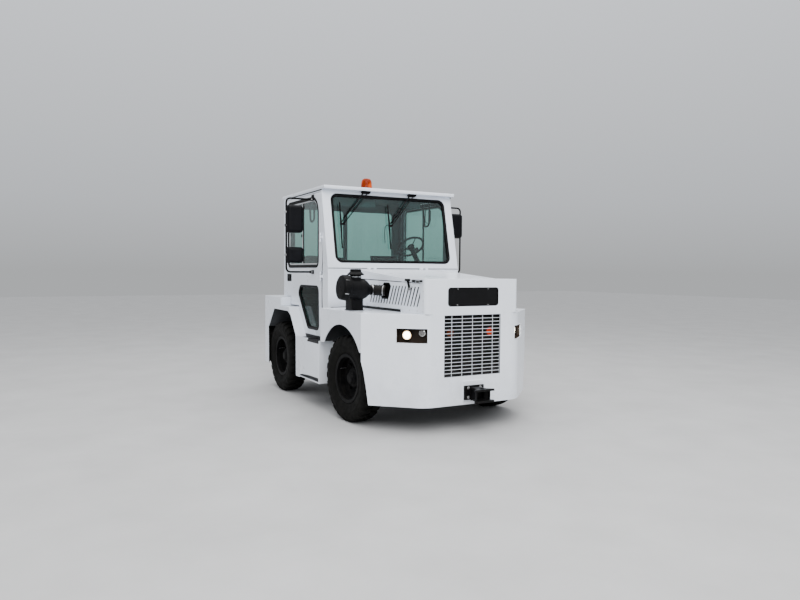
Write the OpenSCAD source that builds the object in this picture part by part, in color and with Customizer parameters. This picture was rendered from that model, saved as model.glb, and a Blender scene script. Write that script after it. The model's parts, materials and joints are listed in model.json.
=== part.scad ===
// Aircraft pushback tractor. X runs forward, Y to the left, Z up, in mm.
// The origin is on the ground under the middle of the vehicle's outline.

/* [Body] */
// Outer width over the front and rear bodies
body_w = 2200; // [2160:10:2240]
// Half width of the flat middle of the front face
nose_half = 589; // [580:1:600]
// X of the front face
front_x = 1925; // [1915:1:1935]
// X where the slanted corner panels meet the sides
crease_x = 1437; // [1430:1:1445]
// Outer radius of the bends between the front face and its corners
bend_r = 250; // [200:10:280]
// X of the rear face
rear_x = -1930; // [-1940:1:-1920]
// Bottom edge of the front skirt
skirt_z = 286; // [270:1:300]
// Bottom edge of the rear body
rear_skirt_z = 346; // [330:1:360]
// Height of the front deck
deck_z = 1261; // [1255:1:1265]
// Height of the rear deck
rear_deck_z = 1338; // [1330:1:1345]
// Sheet thickness of the body panels
skin = 12; // [10:1:14]

/* [Hood] */
// Half width of the hood
hood_half = 600; // [590:1:610]
// Height of the hood over its level front part
hood_z = 1630; // [1625:1:1640]
// X where the hood top starts to rise towards the cab
hood_kink_x = 1505; // [1450:5:1550]
// Height of the hood at its rear edge
hood_rear_z = 1734; // [1730:1:1738]
// Lower edge of the lid's sides
lid_z = 1619; // [1610:1:1625]

/* [Cab] */
// Half width of the cab
cab_half = 955; // [950:1:960]
// X of the cab's front wall
cab_x = 175; // [170:1:180]
// X of the cab's rear wall
cab_rear_x = -1485; // [-1490:1:-1480]
// Height of the windscreen panel's lower edge
belt_z = 1745; // [1740:1:1750]
// Height of the roof's underside
roof_z = 2745; // [2740:1:2750]
// Thickness of the roof plate
roof_t = 31; // [28:1:34]
// Rearward lean of the windscreen panel per unit of height
rake = 0.22; // [0.20:0.01:0.24]
// Thickness of the cab walls and doors
wall_t = 40; // [36:1:44]
// Height of the cab floor
floor_z = 1280; // [1270:1:1290]
// Height of the entry step's tread
step_z = 832; // [828:1:834]

/* [Wheels] */
// X of the front axle
front_axle_x = 912; // [905:1:920]
// X of the rear axle
rear_axle_x = -1342; // [-1346:1:-1338]
// Angle of the front wheels to the left, as they stand
steer = 4; // [0:1:8]
// Loaded radius of the tyres, which is the axle height
tyre_r = 492; // [490:1:494]
// Width of the tyres
tyre_w = 260; // [256:1:262]
// Outer face of the tyres from the centre plane
tyre_out_y = 1068; // [1064:1:1070]
// Radius of the rim flanges
rim_flange_r = 281; // [279:1:283]
// Distance of the steering pivots from the centre plane
pivot_y = 735; // [732:1:738]
// Radius of the axle spindles
spindle_r = 45; // [42:1:48]

/* [Couplings] */
// Radius of the tow pin's hole in the coupling jaws
jaw_pin_r = 20; // [18:1:22]
// Clear height between the jaw plates
jaw_gap = 96; // [90:2:100]
// Reach of the jaws from the body faces
jaw_reach = 250; // [245:1:250]
// Half width of the bolted plate and the pad behind it
pad_half = 126; // [120:1:130]

/* [Hidden] */
half = body_w / 2;
wheel_y = tyre_out_y - tyre_w / 2;
run = 0.05;
corner_n = [0.7232, -0.6906];
corner_a = -43.68;
raked_top = cab_x - rake * (roof_z - belt_z);
arch_c = [890, 484];
arch_r = 618;
tyre_bead_r = 254;
jaw_low = 359;
jaw_top = jaw_low + jaw_gap;
pad_z = [325, 541];
hinge_x = -33;
hinge_y = 972;

// corner points of a polygon rounded with planar chords; each row is [x, y, radius]
function unit(v) = v / norm(v);
function round_corner(a, p, b, r, n) =
    let (u = unit([a[0] - p[0], a[1] - p[1]]), v = unit([b[0] - p[0], b[1] - p[1]]),
         h = acos(max(-1, min(1, u * v))) / 2, l = r / tan(h),
         m = unit(u + v), c = [p[0], p[1]] + m * r / sin(h),
         s = atan2(p[1] + u[1] * l - c[1], p[0] + u[0] * l - c[0]),
         e = atan2(p[1] + v[1] * l - c[1], p[0] + v[0] * l - c[0]),
         d = e - s > 180 ? e - s - 360 : e - s < -180 ? e - s + 360 : e - s)
    [for (i = [0:n]) c + r * [cos(s + d * i / n), sin(s + d * i / n)]];
function rounded(pts, n = 6) = [for (i = [0:len(pts) - 1])
    let (p = pts[i], a = pts[(i + len(pts) - 1) % len(pts)], b = pts[(i + 1) % len(pts)])
    each p[2] > 0 ? round_corner(a, p, b, p[2], n) : [[p[0], p[1]]]];
function inset_rect(x0, x1, y0, y1, r, g) =
    rounded([[x0 + g, y0 + g, r - g], [x1 - g, y0 + g, r - g], [x1 - g, y1 - g, r - g], [x0 + g, y1 - g, r - g]]);

// a plate cut from an X-Z outline, from y0 to y1
module side_plate(pts, y0, y1) {
    translate([0, y1, 0]) rotate([90, 0, 0]) linear_extrude(y1 - y0) polygon(pts);
}
// both sides of the vehicle, or one of them
module both_sides() {
    children();
    mirror([0, 1, 0]) children();
}
module box(x0, x1, y0, y1, z0, z1) {
    translate([x0, y0, z0]) cube([x1 - x0, y1 - y0, z1 - z0]);
}
module rod_y(x, y0, y1, z, r) {
    translate([x, y0, z]) rotate([-90, 0, 0]) cylinder(r = r, h = y1 - y0, $fn = 48);
}
module rod_x(x0, x1, y, z, r) {
    translate([x0, y, z]) rotate([0, 90, 0]) cylinder(r = r, h = x1 - x0, $fn = 48);
}
module rod_z(x, y, z0, z1, r) {
    translate([x, y, z0]) cylinder(r = r, h = z1 - z0, $fn = 48);
}

// plan outline of the front body, moved inwards by t, from x_back forwards
module front_plan(t, x_back) {
    kx = front_x - bend_r;
    ky = nose_half - 0.4008 * bend_r;
    tx = kx + (bend_r - t) * corner_n[0];
    ty = ky - (bend_r - t) * corner_n[1];
    sx = crease_x - 0.4278 * t;
    union() {
        polygon([[x_back, -half + t], [sx, -half + t], [tx, -ty], [front_x - t, -ky],
                 [front_x - t, ky], [tx, ty], [sx, half - t], [x_back, half - t]]);
        translate([kx, ky]) circle(r = bend_r - t, $fn = 96);
        translate([kx, -ky]) circle(r = bend_r - t, $fn = 96);
    }
}

// what the front wheel arches remove from the sides
module arch_cut(y0, y1) {
    side_plate([[280, 0], [280, 855], [392, 855], [890, 900], [1403, 829], [1437, 748], [1457, 640], [1475, 490], [1494, 290], [1502, 0]], y0, y1);
    intersection() {
        rod_y(arch_c[0], y0, y1, arch_c[1], arch_r);
        box(270, 1412, y0 - 5, y1 + 5, 829, 1200);
    }
}

/* ---- front body ---- */
module front_shell() {
    color("white") difference() {
        union() {
            difference() {
                translate([0, 0, skirt_z]) linear_extrude(deck_z - skirt_z) front_plan(0, crease_x);
                translate([0, 0, skirt_z - 1]) linear_extrude(deck_z - skirt_z + 2) front_plan(skin, crease_x - 40);
            }
            // pad behind the coupling
            box(front_x - 2, front_x + 12, -pad_half, pad_half, pad_z[0], pad_z[1]);
            // nose above the deck
            difference() {
                nose_block(0);
                nose_block(skin);
            }
        }
        both_sides() arch_cut(1000, half + 10);
        // grille opening and plate recess
        box(front_x - 40, front_x + 10, -363, 363, 591, 1246);
        translate([front_x - 40, 0, 0]) rotate([90, 0, 90]) linear_extrude(60) polygon(inset_rect(-322, 332, 1338, 1539, 34, 0));
        // lamp openings in the corner panels
        both_sides() mirror([0, 1, 0]) lamp_frame() box(-60, 40, -321, 14, 959, 1115);
    }
}
// upper nose, a box open to the rear with rounded front edges, moved inwards by t
module nose_block(t) {
    r = 45 - t;
    x0 = 1815 - (t > 0 ? 5 : 0);
    x1 = front_x - t;
    h = hood_half - t;
    z1 = hood_z - t;
    translate([0, 0, deck_z - (t > 0 ? 5 : 0)]) linear_extrude(z1 - deck_z + (t > 0 ? 5 : 0)) union() {
        polygon([[x0, -h], [x1 - r, -h], [x1, -h + r], [x1, h - r], [x1 - r, h], [x0, h]]);
        for (s = [-1, 1]) translate([x1 - r, s * (h - r)]) circle(r = r, $fn = 48);
    }
}
// frame on the right corner panel: x outwards, y back towards the middle
module lamp_frame() {
    translate([front_x, -nose_half, 0]) rotate([0, 0, corner_a]) children();
}

// deck, side and wheel house of one front fender
module fender() {
    color("white") difference() {
        union() {
            // side
            box(290, crease_x, half - skin, half, 840, deck_z);
            // deck
            intersection() {
                translate([0, 0, deck_z - skin]) linear_extrude(skin) front_plan(skin + 0.4, 200);
                box(290, front_x, 512, half - skin, deck_z - 40, deck_z);
            }
            // wheel house wall and rear closing plate
            box(290, 1560, 500, 512, 620, deck_z);
            box(290, 302, 512, half - skin, 855, deck_z - skin);
        }
        arch_cut(half - skin - 5, half + 10);
    }
}
module front_fenders() { both_sides() fender(); }

/* ---- hood ---- */
function hood_top(x) = x > hood_kink_x ? hood_z : hood_z + (hood_rear_z - hood_z) * (hood_kink_x - x) / (hood_kink_x - 215);
function lid_edge(x) = lid_z - 0.02 * (x - lid_x0);
// louvre slots: first x, pitch, count, half width, bottom, top, lean forward
louvre = [643, 69.5, 17, 15, 1341, 1551, 96];
module hood_side() {
    color("white") difference() {
        side_plate([[cab_x, deck_z + 11], [1400, deck_z + 11], [1400, deck_z], [1812, deck_z], [1812, lid_edge(1812) - 6], [lid_x0, lid_edge(lid_x0) - 6], [cab_x, lid_z - 6]],
                   hood_half - 10, hood_half);
        for (k = [0:louvre[2] - 1]) let (x = louvre[0] + k * louvre[1], w = louvre[3], z = louvre[4] - k * 0.5, e = louvre[5] - k * 0.5)
            side_plate([[x - w, z], [x + w - 8, z], [x + w, z + 8], [x + w + louvre[6], e], [x - w + 8 + louvre[6], e], [x - w + louvre[6], e - 8]], hood_half - 30, hood_half + 10);
    }
}
// opening for the air hose: x, z, radius
hose_hole = [[922, 1400, 30], [1100, 1400, 40], [1168, 1572, 40], [990, 1572, 30]];
module hood_sides() {
    color("white") union() {
        difference() {
            both_sides() hood_side();
            side_plate(rounded(hose_hole), -hood_half - 20, -hood_half + 30);
        }
        // fixed cowl strip between the lid and the cab
        difference() {
            side_plate([[cab_x, lid_z - 12], [lid_x0 - 5, lid_z - 12], [lid_x0 - 5, hood_rear_z], [cab_x, hood_rear_z + 3]], -hood_half, hood_half);
            side_plate([[cab_x - 5, lid_z - 20], [lid_x0, lid_z - 20], [lid_x0, hood_rear_z - skin], [cab_x - 5, hood_rear_z - skin]], -hood_half + skin, hood_half - skin);
        }
        for (y = lid_hinges) {
            rod_y(lid_hinge_x, y - 17, y + 17, lid_hinge_z, 8);
            box(cab_x + 5, lid_hinge_x - 6, y - 17, y + 17, hood_rear_z - 1, lid_hinge_z);
        }
    }
}
lid_x0 = 215;
lid_x1 = 1809;
lid_hinge_x = lid_x0 - 2.5;
lid_hinge_z = hood_rear_z + 15;
// middles of the lid's hinges, across the vehicle
lid_hinges = [-380, 380];
module hood_lid() {
    color("white") union() {
        difference() {
            side_plate([[lid_x0, lid_z], [lid_x1, lid_edge(lid_x1)], [lid_x1, hood_z], [hood_kink_x, hood_z], [lid_x0, hood_rear_z]], -hood_half, hood_half);
            side_plate([[lid_x0 - 5, lid_z - 50], [lid_x1 - 12, lid_z - 50], [lid_x1 - 12, hood_z - skin], [hood_kink_x, hood_z - skin], [lid_x0 - 5, hood_rear_z - skin]],
                       -hood_half + skin, hood_half - skin);
        }
        for (y = lid_hinges) for (d = [-40, 40]) {
            rod_y(lid_hinge_x, y + d - 17, y + d + 17, lid_hinge_z, 8);
            box(lid_hinge_x + 3, lid_hinge_x + 40, y + d - 17, y + d + 17, hood_rear_z - 12, lid_hinge_z - 1);
        }
    }
}

/* ---- front face fittings ---- */
// columns of the grille's openings: start, end (across the face)
grille_cols = [[-359, -266.5], [-261.5, -134.5], [-129.5, -2.5], [2.5, 129.5], [134.5, 261.5], [266.5, 359]];
grille_rows = 17;
module grille() {
    pitch = (1246 - 591) / grille_rows;
    color("white") difference() {
        box(front_x - 22, front_x - 14, -362.5, 362.5, 591.5, 1245.5);
        for (c = grille_cols)
            for (k = [0:grille_rows - 1])
                box(front_x - 40, front_x, c[0], c[1], 591 + k * pitch + 2.5, 591 + (k + 1) * pitch - 2.5);
    }
}
module front_plate() {
    color("black") translate([front_x - 26, 0, 0]) rotate([90, 0, 90]) linear_extrude(10) polygon(inset_rect(-322, 332, 1338, 1539, 34, 1));
}
// lamps behind the grille: y, z
marker_lamps = [[-258, 1056], [258, 1056]];
// round lamps in each corner box: distance from the middle line, height, radius
lamp_table = [[219, 1039, 50], [56, 1062, 40]];
module lamps() {
    color("dimgray") union() {
        both_sides() {
            difference() {
                intersection() {
                    mirror([0, 1, 0]) lamp_frame() box(-120, 10, -329, 22, 951, 1123);
                    translate([0, 0, 940]) linear_extrude(200) front_plan(skin + 1, crease_x);
                }
                mirror([0, 1, 0]) lamp_frame() box(-112, 20, -320, 13, 960, 1114);
            }
            mirror([0, 1, 0]) lamp_frame() for (l = lamp_table)
                translate([-113, -l[0], l[1]]) rotate([0, 90, 0]) cylinder(r = l[2], h = 46, $fn = 48);
        }
        for (m = marker_lamps)
            translate([1862, m[0], m[1]]) rotate([0, 90, 0]) cylinder(r = 48, h = 16, $fn = 48);
        both_sides() box(rear_x - 30, rear_x, 800, 1020, 1120, 1210);
    }
}

/* ---- couplings ---- */
// a bolted plate with a flared jaw and a pin hole, at the origin of a body face
module coupling() {
    difference() {
        union() {
            box(12, 34, -pad_half + 1, pad_half - 1, 340, 494);
            // upper and lower jaw plates
            translate([0, 0, jaw_top]) linear_extrude(22)
                polygon([[34, -50], [165, -62], [205, -122], [230, -122], [230, 122], [205, 122], [165, 62], [34, 50]]);
            translate([0, 0, jaw_low - 22]) linear_extrude(22)
                polygon([[34, -50], [150, -60], [200, -118], [jaw_reach - 22, -122], [jaw_reach - 8, -104], [jaw_reach - 8, 104], [jaw_reach - 22, 122], [200, 118], [150, 60], [34, 50]]);
            // throat between them, flared to the front
            translate([0, 0, jaw_low - 1]) linear_extrude(jaw_top - jaw_low + 2)
                polygon([[34, -48], [140, -58], [176, -90], [200, -90], [200, 90], [176, 90], [140, 58], [34, 48]]);
        }
        // mouth
        translate([0, 0, jaw_low]) linear_extrude(jaw_top - jaw_low)
            polygon([[100, -44], [142, -48], [176, -78], [201, -78], [201, 78], [176, 78], [142, 48], [100, 44]]);
        translate([170, 0, 290]) cylinder(r = jaw_pin_r, h = 250, $fn = 48);
        for (y = [-76, 76]) for (z = [370, 469])
            translate([20, y, z]) rotate([0, 90, 0]) cylinder(r = 7, h = 14.5, $fn = 24);
    }
}
module front_coupling() {
    color("#202224") translate([front_x, 0, 0]) coupling();
}
module rear_coupling() {
    color("#202224") translate([rear_x, 0, 0]) rotate([0, 0, 180]) coupling();
}

/* ---- cab ---- */
ws_half = 825;
ws_z0 = 1830;
ws_z1 = 2670;
module cab_front() {
    color("white") difference() {
        union() {
            side_plate([[cab_x, belt_z], [raked_top, roof_z], [raked_top - wall_t, roof_z], [cab_x - wall_t, belt_z]], -cab_half, cab_half);
            box(cab_x - wall_t, cab_x, -cab_half, cab_half, deck_z, belt_z);
            box(cab_x - wall_t, cab_x, -499, 499, 820, deck_z);
        }
        side_plate_window(0);
        // clear of the doors' upper front corners
        both_sides() side_plate(door_gap, cab_half - wall_t - 6, cab_half + 10);
    }
}
// windscreen cut square through the panel, in the panel's own slope
lean = atan(rake);
ws_l0 = (ws_z0 - belt_z) / cos(lean);
ws_l1 = (ws_z1 - belt_z) / cos(lean);
module side_plate_window(g, t0 = -80, t1 = 40) {
    translate([cab_x, 0, belt_z]) rotate([0, -lean, 0]) translate([t0, 0, 0]) rotate([90, 0, 90])
        linear_extrude(t1 - t0) polygon(inset_rect(-ws_half, ws_half, ws_l0, ws_l1, 75, g));
}
door_top = 2700;
// outline of a door: x, z
door_pts = [[-36, 862], [-36, 2600], [-88, door_top], [-1375, door_top], [-1375, 1352], [-1183, 1352], [-1183, 1234], [-858, 1234], [-563, 862]];
// openings of the door, as rounded corners: x, z, radius
upper_win = [[-150, 1770, 70], [-150, 2645, 205], [-1290, 2645, 70], [-1290, 1770, 70]];
lower_win = [[-134, 962, 60], [-150, 1501, 60], [-800, 1501, 70], [-862, 1404, 60], [-510, 962, 80]];
// opening in the side of the cab for the door: x, z
door_gap = [[-30, 700], [-30, 2603], [-85, door_top + 6], [-1382, door_top + 6], [-1382, 700]];
// one half of the rear window: y from, y to, bottom, top
rear_win = [18, 806, 1620, 2618];
module cab_frame() {
    color("white") union() {
        both_sides() difference() {
            side_plate([[cab_x, step_z], [cab_x, deck_z - 1], [cab_x - wall_t, deck_z - 1], [cab_x - wall_t, belt_z],
                        [raked_top - wall_t, roof_z], [cab_rear_x, roof_z], [cab_rear_x, rear_deck_z], [-1300, rear_deck_z], [-1300, step_z]],
                       cab_half - wall_t, cab_half);
            side_plate(door_gap, cab_half - wall_t - 10, cab_half + 10);
        }
        difference() {
            box(cab_rear_x, cab_rear_x + wall_t, -cab_half + wall_t, cab_half - wall_t, floor_z - 40, roof_z);
            for (m = [0, 1]) mirror([0, m, 0])
                translate([cab_rear_x - 5, 0, 0]) rotate([90, 0, 90]) linear_extrude(60) polygon(inset_rect(rear_win[0], rear_win[1], rear_win[2], rear_win[3], 60, 0));
        }
        box(raked_top - wall_t - 60, raked_top - wall_t - 20, -cab_half + wall_t, cab_half - wall_t, roof_z - 60, roof_z);
        // fixed halves of the door hinges
        both_sides() for (z = door_hinges) {
            rod_z(hinge_x, hinge_y, z - 17, z + 17, 11);
            box(-28, 8, cab_half - 1, hinge_y - 3, z - 17, z + 17);
        }
    }
}
module cab_glass() {
    color([0.6, 0.75, 0.7, 0.4]) {
        side_plate_window(0.5, -24, -18);
        for (m = [0, 1]) mirror([0, m, 0])
            translate([cab_rear_x + 12, 0, 0]) rotate([90, 0, 90]) linear_extrude(6) polygon(inset_rect(rear_win[0], rear_win[1], rear_win[2], rear_win[3], 60, 0.5));
    }
}
module cab_roof() {
    color("white") box(-1535, 60, -960, 960, roof_z, roof_z + roof_t);
}
module cab_floor() {
    color("dimgray") union() {
        box(cab_rear_x + wall_t, cab_x - wall_t, -600, 600, floor_z - 40, floor_z);
        both_sides() {
            box(cab_rear_x + wall_t, -640, 600, 905, floor_z - 40, floor_z);
            // entry well: inner wall, floor, rear and front
            box(-652, cab_x - wall_t, 588, 600, step_z - 20, floor_z - 40);
            box(-566, cab_x - wall_t, 600, 914, step_z - 20, step_z);
            box(-652, -566, 600, 739, step_z - 20, step_z);
            box(-652, -640, 600, 739, step_z, floor_z - 40);
            box(cab_x - wall_t, cab_x - 10, 588, 914, step_z - 20, deck_z - 2);
        }
    }
}
sw_tilt = 42;
sw_c = [-245, 450, 2050];
module dashboard() {
    color("#2c2f31") union() {
        side_plate([[cab_x - wall_t, 1500], [cab_x - wall_t, belt_z - 5], [cab_x - wall_t - 16, 1794], [30, 1800], [-110, 1740], [-110, 1600], [0, 1500]], -860, 860);
        side_plate([[cab_x - wall_t, floor_z], [cab_x - wall_t, 1500], [0, 1500], [60, floor_z]], 150, 590);
        // steering column
        translate(sw_c) rotate([0, -sw_tilt, 0]) translate([0, 0, -385]) cylinder(r = 34, h = 340, $fn = 48);
    }
}
module steering_wheel() {
    color("#202224") translate(sw_c) rotate([0, -sw_tilt, 0]) union() {
        rotate_extrude($fn = 96) translate([180, 0]) circle(r = 15, $fn = 24);
        translate([0, 0, -45]) cylinder(r = 45, h = 55, $fn = 48);
        for (a = [0, 120, 240]) rotate([0, 0, a]) translate([0, -14, -14]) cube([178, 28, 14]);
    }
}
// seats: y, half width, cushion bottom, cushion top, back top, lean of the back
seats_table = [[450, 245, 220, 360, 1940, 80], [-420, 250, 200, 330, 1905, 70]];
module seats() {
    color("#26282a") for (t = seats_table) translate([-760, t[0], 0]) union() {
        box(-200, 200, -t[1] + 65, t[1] - 65, floor_z, floor_z + t[2]);
        box(-240, 250, -t[1], t[1], floor_z + t[2], floor_z + t[3]);
        side_plate([[-240, floor_z + t[3] - 60], [-120, floor_z + t[3] - 60], [-120 - t[5], t[4]], [-230 - t[5], t[4]]], -t[1] + 10, t[1] - 10);
    }
}

/* ---- doors ---- */
// middles of the door hinges' heights
door_hinges = [1170, 1640, 2130];
module door() {
    difference() {
        union() {
            side_plate(door_pts, cab_half - wall_t, cab_half);
            for (z = door_hinges) for (d = [-40, 40]) {
                rod_z(hinge_x, hinge_y, z + d - 17, z + d + 17, 11);
                box(-75, hinge_x - 3, cab_half - 1, hinge_y - 3, z + d - 17, z + d + 17);
            }
        }
        side_plate(rounded(upper_win), cab_half - wall_t - 10, cab_half + 10);
        side_plate(rounded(lower_win), cab_half - wall_t - 10, cab_half + 10);
        // handle recess
        box(-1335, -1165, cab_half - 12, cab_half + 1, 1563, 1662);
    }
}
module door_left() { color("white") door(); }
module door_right() { color("white") mirror([0, 1, 0]) door(); }
module door_panes() {
    side_plate(rounded(shrunk(upper_win, 0.998)), cab_half - 23, cab_half - 17);
    side_plate(rounded(shrunk(lower_win, 0.998)), cab_half - 23, cab_half - 17);
}
// the same corners drawn in towards the middle of the outline
function shrunk(p, k) = let (c = [for (i = [0, 1]) (max([for (q = p) q[i]]) + min([for (q = p) q[i]])) / 2])
    [for (q = p) [c[0] + (q[0] - c[0]) * k, c[1] + (q[1] - c[1]) * k, q[2] * k]];
module door_glass_left() { color([0.6, 0.75, 0.7, 0.4]) door_panes(); }
module door_glass_right() { color([0.6, 0.75, 0.7, 0.4]) mirror([0, 1, 0]) door_panes(); }
// mirror heads: bottom, top, depth
mirror_heads = [[2188, 2545, 90], [1803, 2013, 90]];
mirror_x = -325;
mirror_y = 1318;
mirror_z = [1693, 2628];
module mirror_set(heads) {
    r = 12;
    bend = 60;
    union() {
        rod_z(mirror_x, mirror_y, mirror_z[0] + bend, mirror_z[1] - bend, r);
        for (k = [0, 1]) {
            translate([mirror_x, mirror_y - bend, mirror_z[k] + (k == 0 ? bend : -bend)])
                rotate([90, 0, 90]) rotate([0, 0, k == 0 ? -90 : 0]) rotate_extrude(angle = 90, $fn = 48) translate([bend, 0]) circle(r = r, $fn = 24);
            rod_y(mirror_x, cab_half + 10, mirror_y - bend, mirror_z[k], r);
        }
        for (h = heads)
            box(mirror_x - 9, mirror_x - 9 + h[2], 1104, mirror_y + 8, h[0], h[1]);
        box(mirror_x - 35, mirror_x + 35, cab_half, cab_half + 12, mirror_z[0] - 25, mirror_z[0] + 25);
        box(mirror_x - 35, mirror_x + 35, cab_half, cab_half + 12, mirror_z[1] - 14, 2690);
    }
}
module mirror_left() { color("#202224") mirror_set([mirror_heads[0]]); }
module mirror_right() { color("#202224") mirror([0, 1, 0]) mirror_set(mirror_heads); }

/* ---- rear body ---- */
// inner and outer outline of the rear fender's sheet, from the rear forwards and down: x, z
rear_arch = [[-1768, 888], [-1508, 1163], [-928, 1159], [-887, 1150], [-793, 1107], [-600, 863], [-588, 830], [-580, 318]];
fender_out = [[-568, 318], [-568, 825], [-577, 852], [-865, 1217], [-1195, 1220], [-1535, 1220], [-1800, 940]];
module rear_body() {
    color("white") union() {
        // deck around the cab
        difference() {
            box(rear_x, -1195, -half, half, rear_deck_z - skin, rear_deck_z);
            box(cab_rear_x, 0, -cab_half, cab_half, rear_deck_z - 50, rear_deck_z + 50);
        }
        box(rear_x, rear_x + skin, -half, half, rear_skirt_z, rear_deck_z - skin);
        box(rear_x - 12, rear_x + 2, -pad_half, pad_half, pad_z[0] + 21, pad_z[1]);
        // front ends beside the cab
        both_sides() box(-1207, -1195, cab_half + 1, half - 2, 1221, rear_deck_z - 2);
        both_sides() difference() {
            box(rear_x + skin, -1195, half - skin, half, rear_skirt_z, rear_deck_z - skin);
            side_plate(concat([[-1756, 300]], rear_arch, [[-580, 300]]), half - 40, half + 10);
        }
    }
}
// sheet arch over one rear wheel with its inner wall
module rear_fender() {
    color("white") union() {
        difference() {
            side_plate(concat(rear_arch, fender_out), 740, half);
            // clear of the rear body's sides and deck
            box(-1900, -1195, half - skin, half + 10, 0, 1400);
        }
        // inner wall of the wheel house, open below for the axle
        side_plate([[-1860, 640], [-600, 640], [-600, 884], [-867, 1214], [-1535, 1214], [-1860, 1214]], 740, 752);
    }
}
module rear_fenders() { both_sides() rear_fender(); }
module step_box() {
    color("white") difference() {
        union() {
            box(-567, 247, half - skin, half, 318, 855);
            box(235, 247, 620, half - skin, 330, 855);
            box(-567, 235, 916, half - skin, step_z - 12, step_z);
            box(-567, 235, 930, half - skin, 329, 341);
        }
        // step openings at the top and near the bottom
        box(-160, 231, half - skin - 1, half + 10, step_z, 900);
        side_plate([[-445, 341], [222, 341], [222, 394], [-120, 388], [-347, 371], [-440, 354]], half - skin - 1, half + 10);
        box(-440, 250, half - skin - 1, half + 10, 300, 329);
        box(234, 250, 600, 916, step_z, 900);
    }
}
module step_boxes() { both_sides() step_box(); }

/* ---- chassis ---- */
module chassis_frame() {
    color("#2c2f31") union() {
        both_sides() box(-1860, 1860, 340, 380, 620, 780);
        for (x = [-1860, -700, 120, 1700]) box(x, x + 40, -340, 340, 620, 780);
        // beams behind the front and rear faces
        box(1860, front_x - skin, -430, 430, 310, 560);
        box(1860, 1876, -430, 430, 560, 640);
        box(rear_x + skin, -1860, -430, 430, 355, 780);
        // cross carriers
        box(1600, 1640, -498, 498, 700, 780);
        for (x = [-540, 150]) box(x, x + 40, -1085, 1085, 740, 810);
    }
}
module axle_housing(x, tube_end) {
    translate([x, 0, tyre_r]) {
        rotate([90, 0, 0]) translate([0, 0, -tube_end]) cylinder(r = 62, h = 2 * tube_end, $fn = 64);
        rotate([90, 0, 0]) translate([0, 0, -90]) cylinder(r = 185, h = 180, $fn = 96);
    }
}
module front_axle() {
    color("#26282a") difference() {
        union() {
            axle_housing(front_axle_x, 610);
            translate([front_axle_x, 0, tyre_r]) rotate([0, -90, 0]) cylinder(r = 85, h = 260, $fn = 64);
            both_sides() {
                // yoke around the pivot
                box(front_axle_x - 60, front_axle_x + 60, 590, 640, tyre_r - 140, tyre_r + 140);
                for (s = [-1, 1]) translate([front_axle_x, 0, tyre_r + s * 120 - 20]) linear_extrude(40) union() {
                    polygon([[-60, 600], [60, 600], [60, pivot_y], [-60, pivot_y]]);
                    translate([0, pivot_y]) circle(r = 60, $fn = 64);
                }
                // spring pads
                box(front_axle_x - 60, front_axle_x + 60, 300, 380, tyre_r + 20, tyre_r + 66);
            }
        }
        both_sides() rod_z(front_axle_x, pivot_y, tyre_r - 200, tyre_r + 200, 24);
    }
}
// swivelling hub carrier with its pivot pin and spindle
module knuckle() {
    color("#26282a") union() {
        rod_z(front_axle_x, pivot_y, tyre_r - 90, tyre_r + 90, 55);
        rod_z(front_axle_x, pivot_y, tyre_r - 150, tyre_r + 150, 24 - run);
        rod_y(front_axle_x, pivot_y, 850, tyre_r, 80);
        rod_y(front_axle_x, 840, 985, tyre_r, spindle_r);
        // steering arm
        box(front_axle_x - 210, front_axle_x - 30, 690, 740, tyre_r - 85, tyre_r - 50);
    }
}
// turned about the left (s = 1) or right (s = -1) steering pivot
module steered(s) {
    translate([front_axle_x, s * pivot_y, 0]) rotate([0, 0, steer]) translate([-front_axle_x, -s * pivot_y, 0]) children();
}
module knuckle_left() { steered(1) knuckle(); }
module knuckle_right() { steered(-1) mirror([0, 1, 0]) knuckle(); }
module rear_axle() {
    color("#26282a") union() {
        axle_housing(rear_axle_x, 790);
        translate([rear_axle_x, 0, tyre_r]) rotate([0, 90, 0]) cylinder(r = 85, h = 260, $fn = 64);
        both_sides() {
            rod_y(rear_axle_x, 780, 850, tyre_r, 110);
            rod_y(rear_axle_x, 840, 985, tyre_r, spindle_r);
            box(rear_axle_x - 60, rear_axle_x + 60, 300, 380, tyre_r + 20, tyre_r + 66);
        }
    }
}
// leaves of one spring: half length, bottom, top
leaves = [[110, 558, 570], [240, 570, 582], [360, 582, 594], [470, 594, 606]];
module leaf_springs() {
    color("#26282a") for (ax = [front_axle_x, rear_axle_x]) both_sides() union() {
        for (l = leaves) box(ax - l[0], ax + l[0], 325, 395, l[1], l[2]);
        for (s = [-1, 1]) box(ax + s * 440 - 25, ax + s * 440 + 25, 325, 395, 606, 620);
    }
}
// engine, radiator, gearbox and shafts as plain shapes
module powertrain() {
    color("slategray") {
        box(640, 1560, -290, 290, 800, 1380);
        box(1790, 1858, -335, 335, 600, 1240);
        union() {
            box(-420, 100, -220, 220, 380, 780);
            rod_x(90, 651, 0, tyre_r, 38);
            rod_x(-1081, -410, 0, tyre_r, 38);
        }
    }
}

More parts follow.
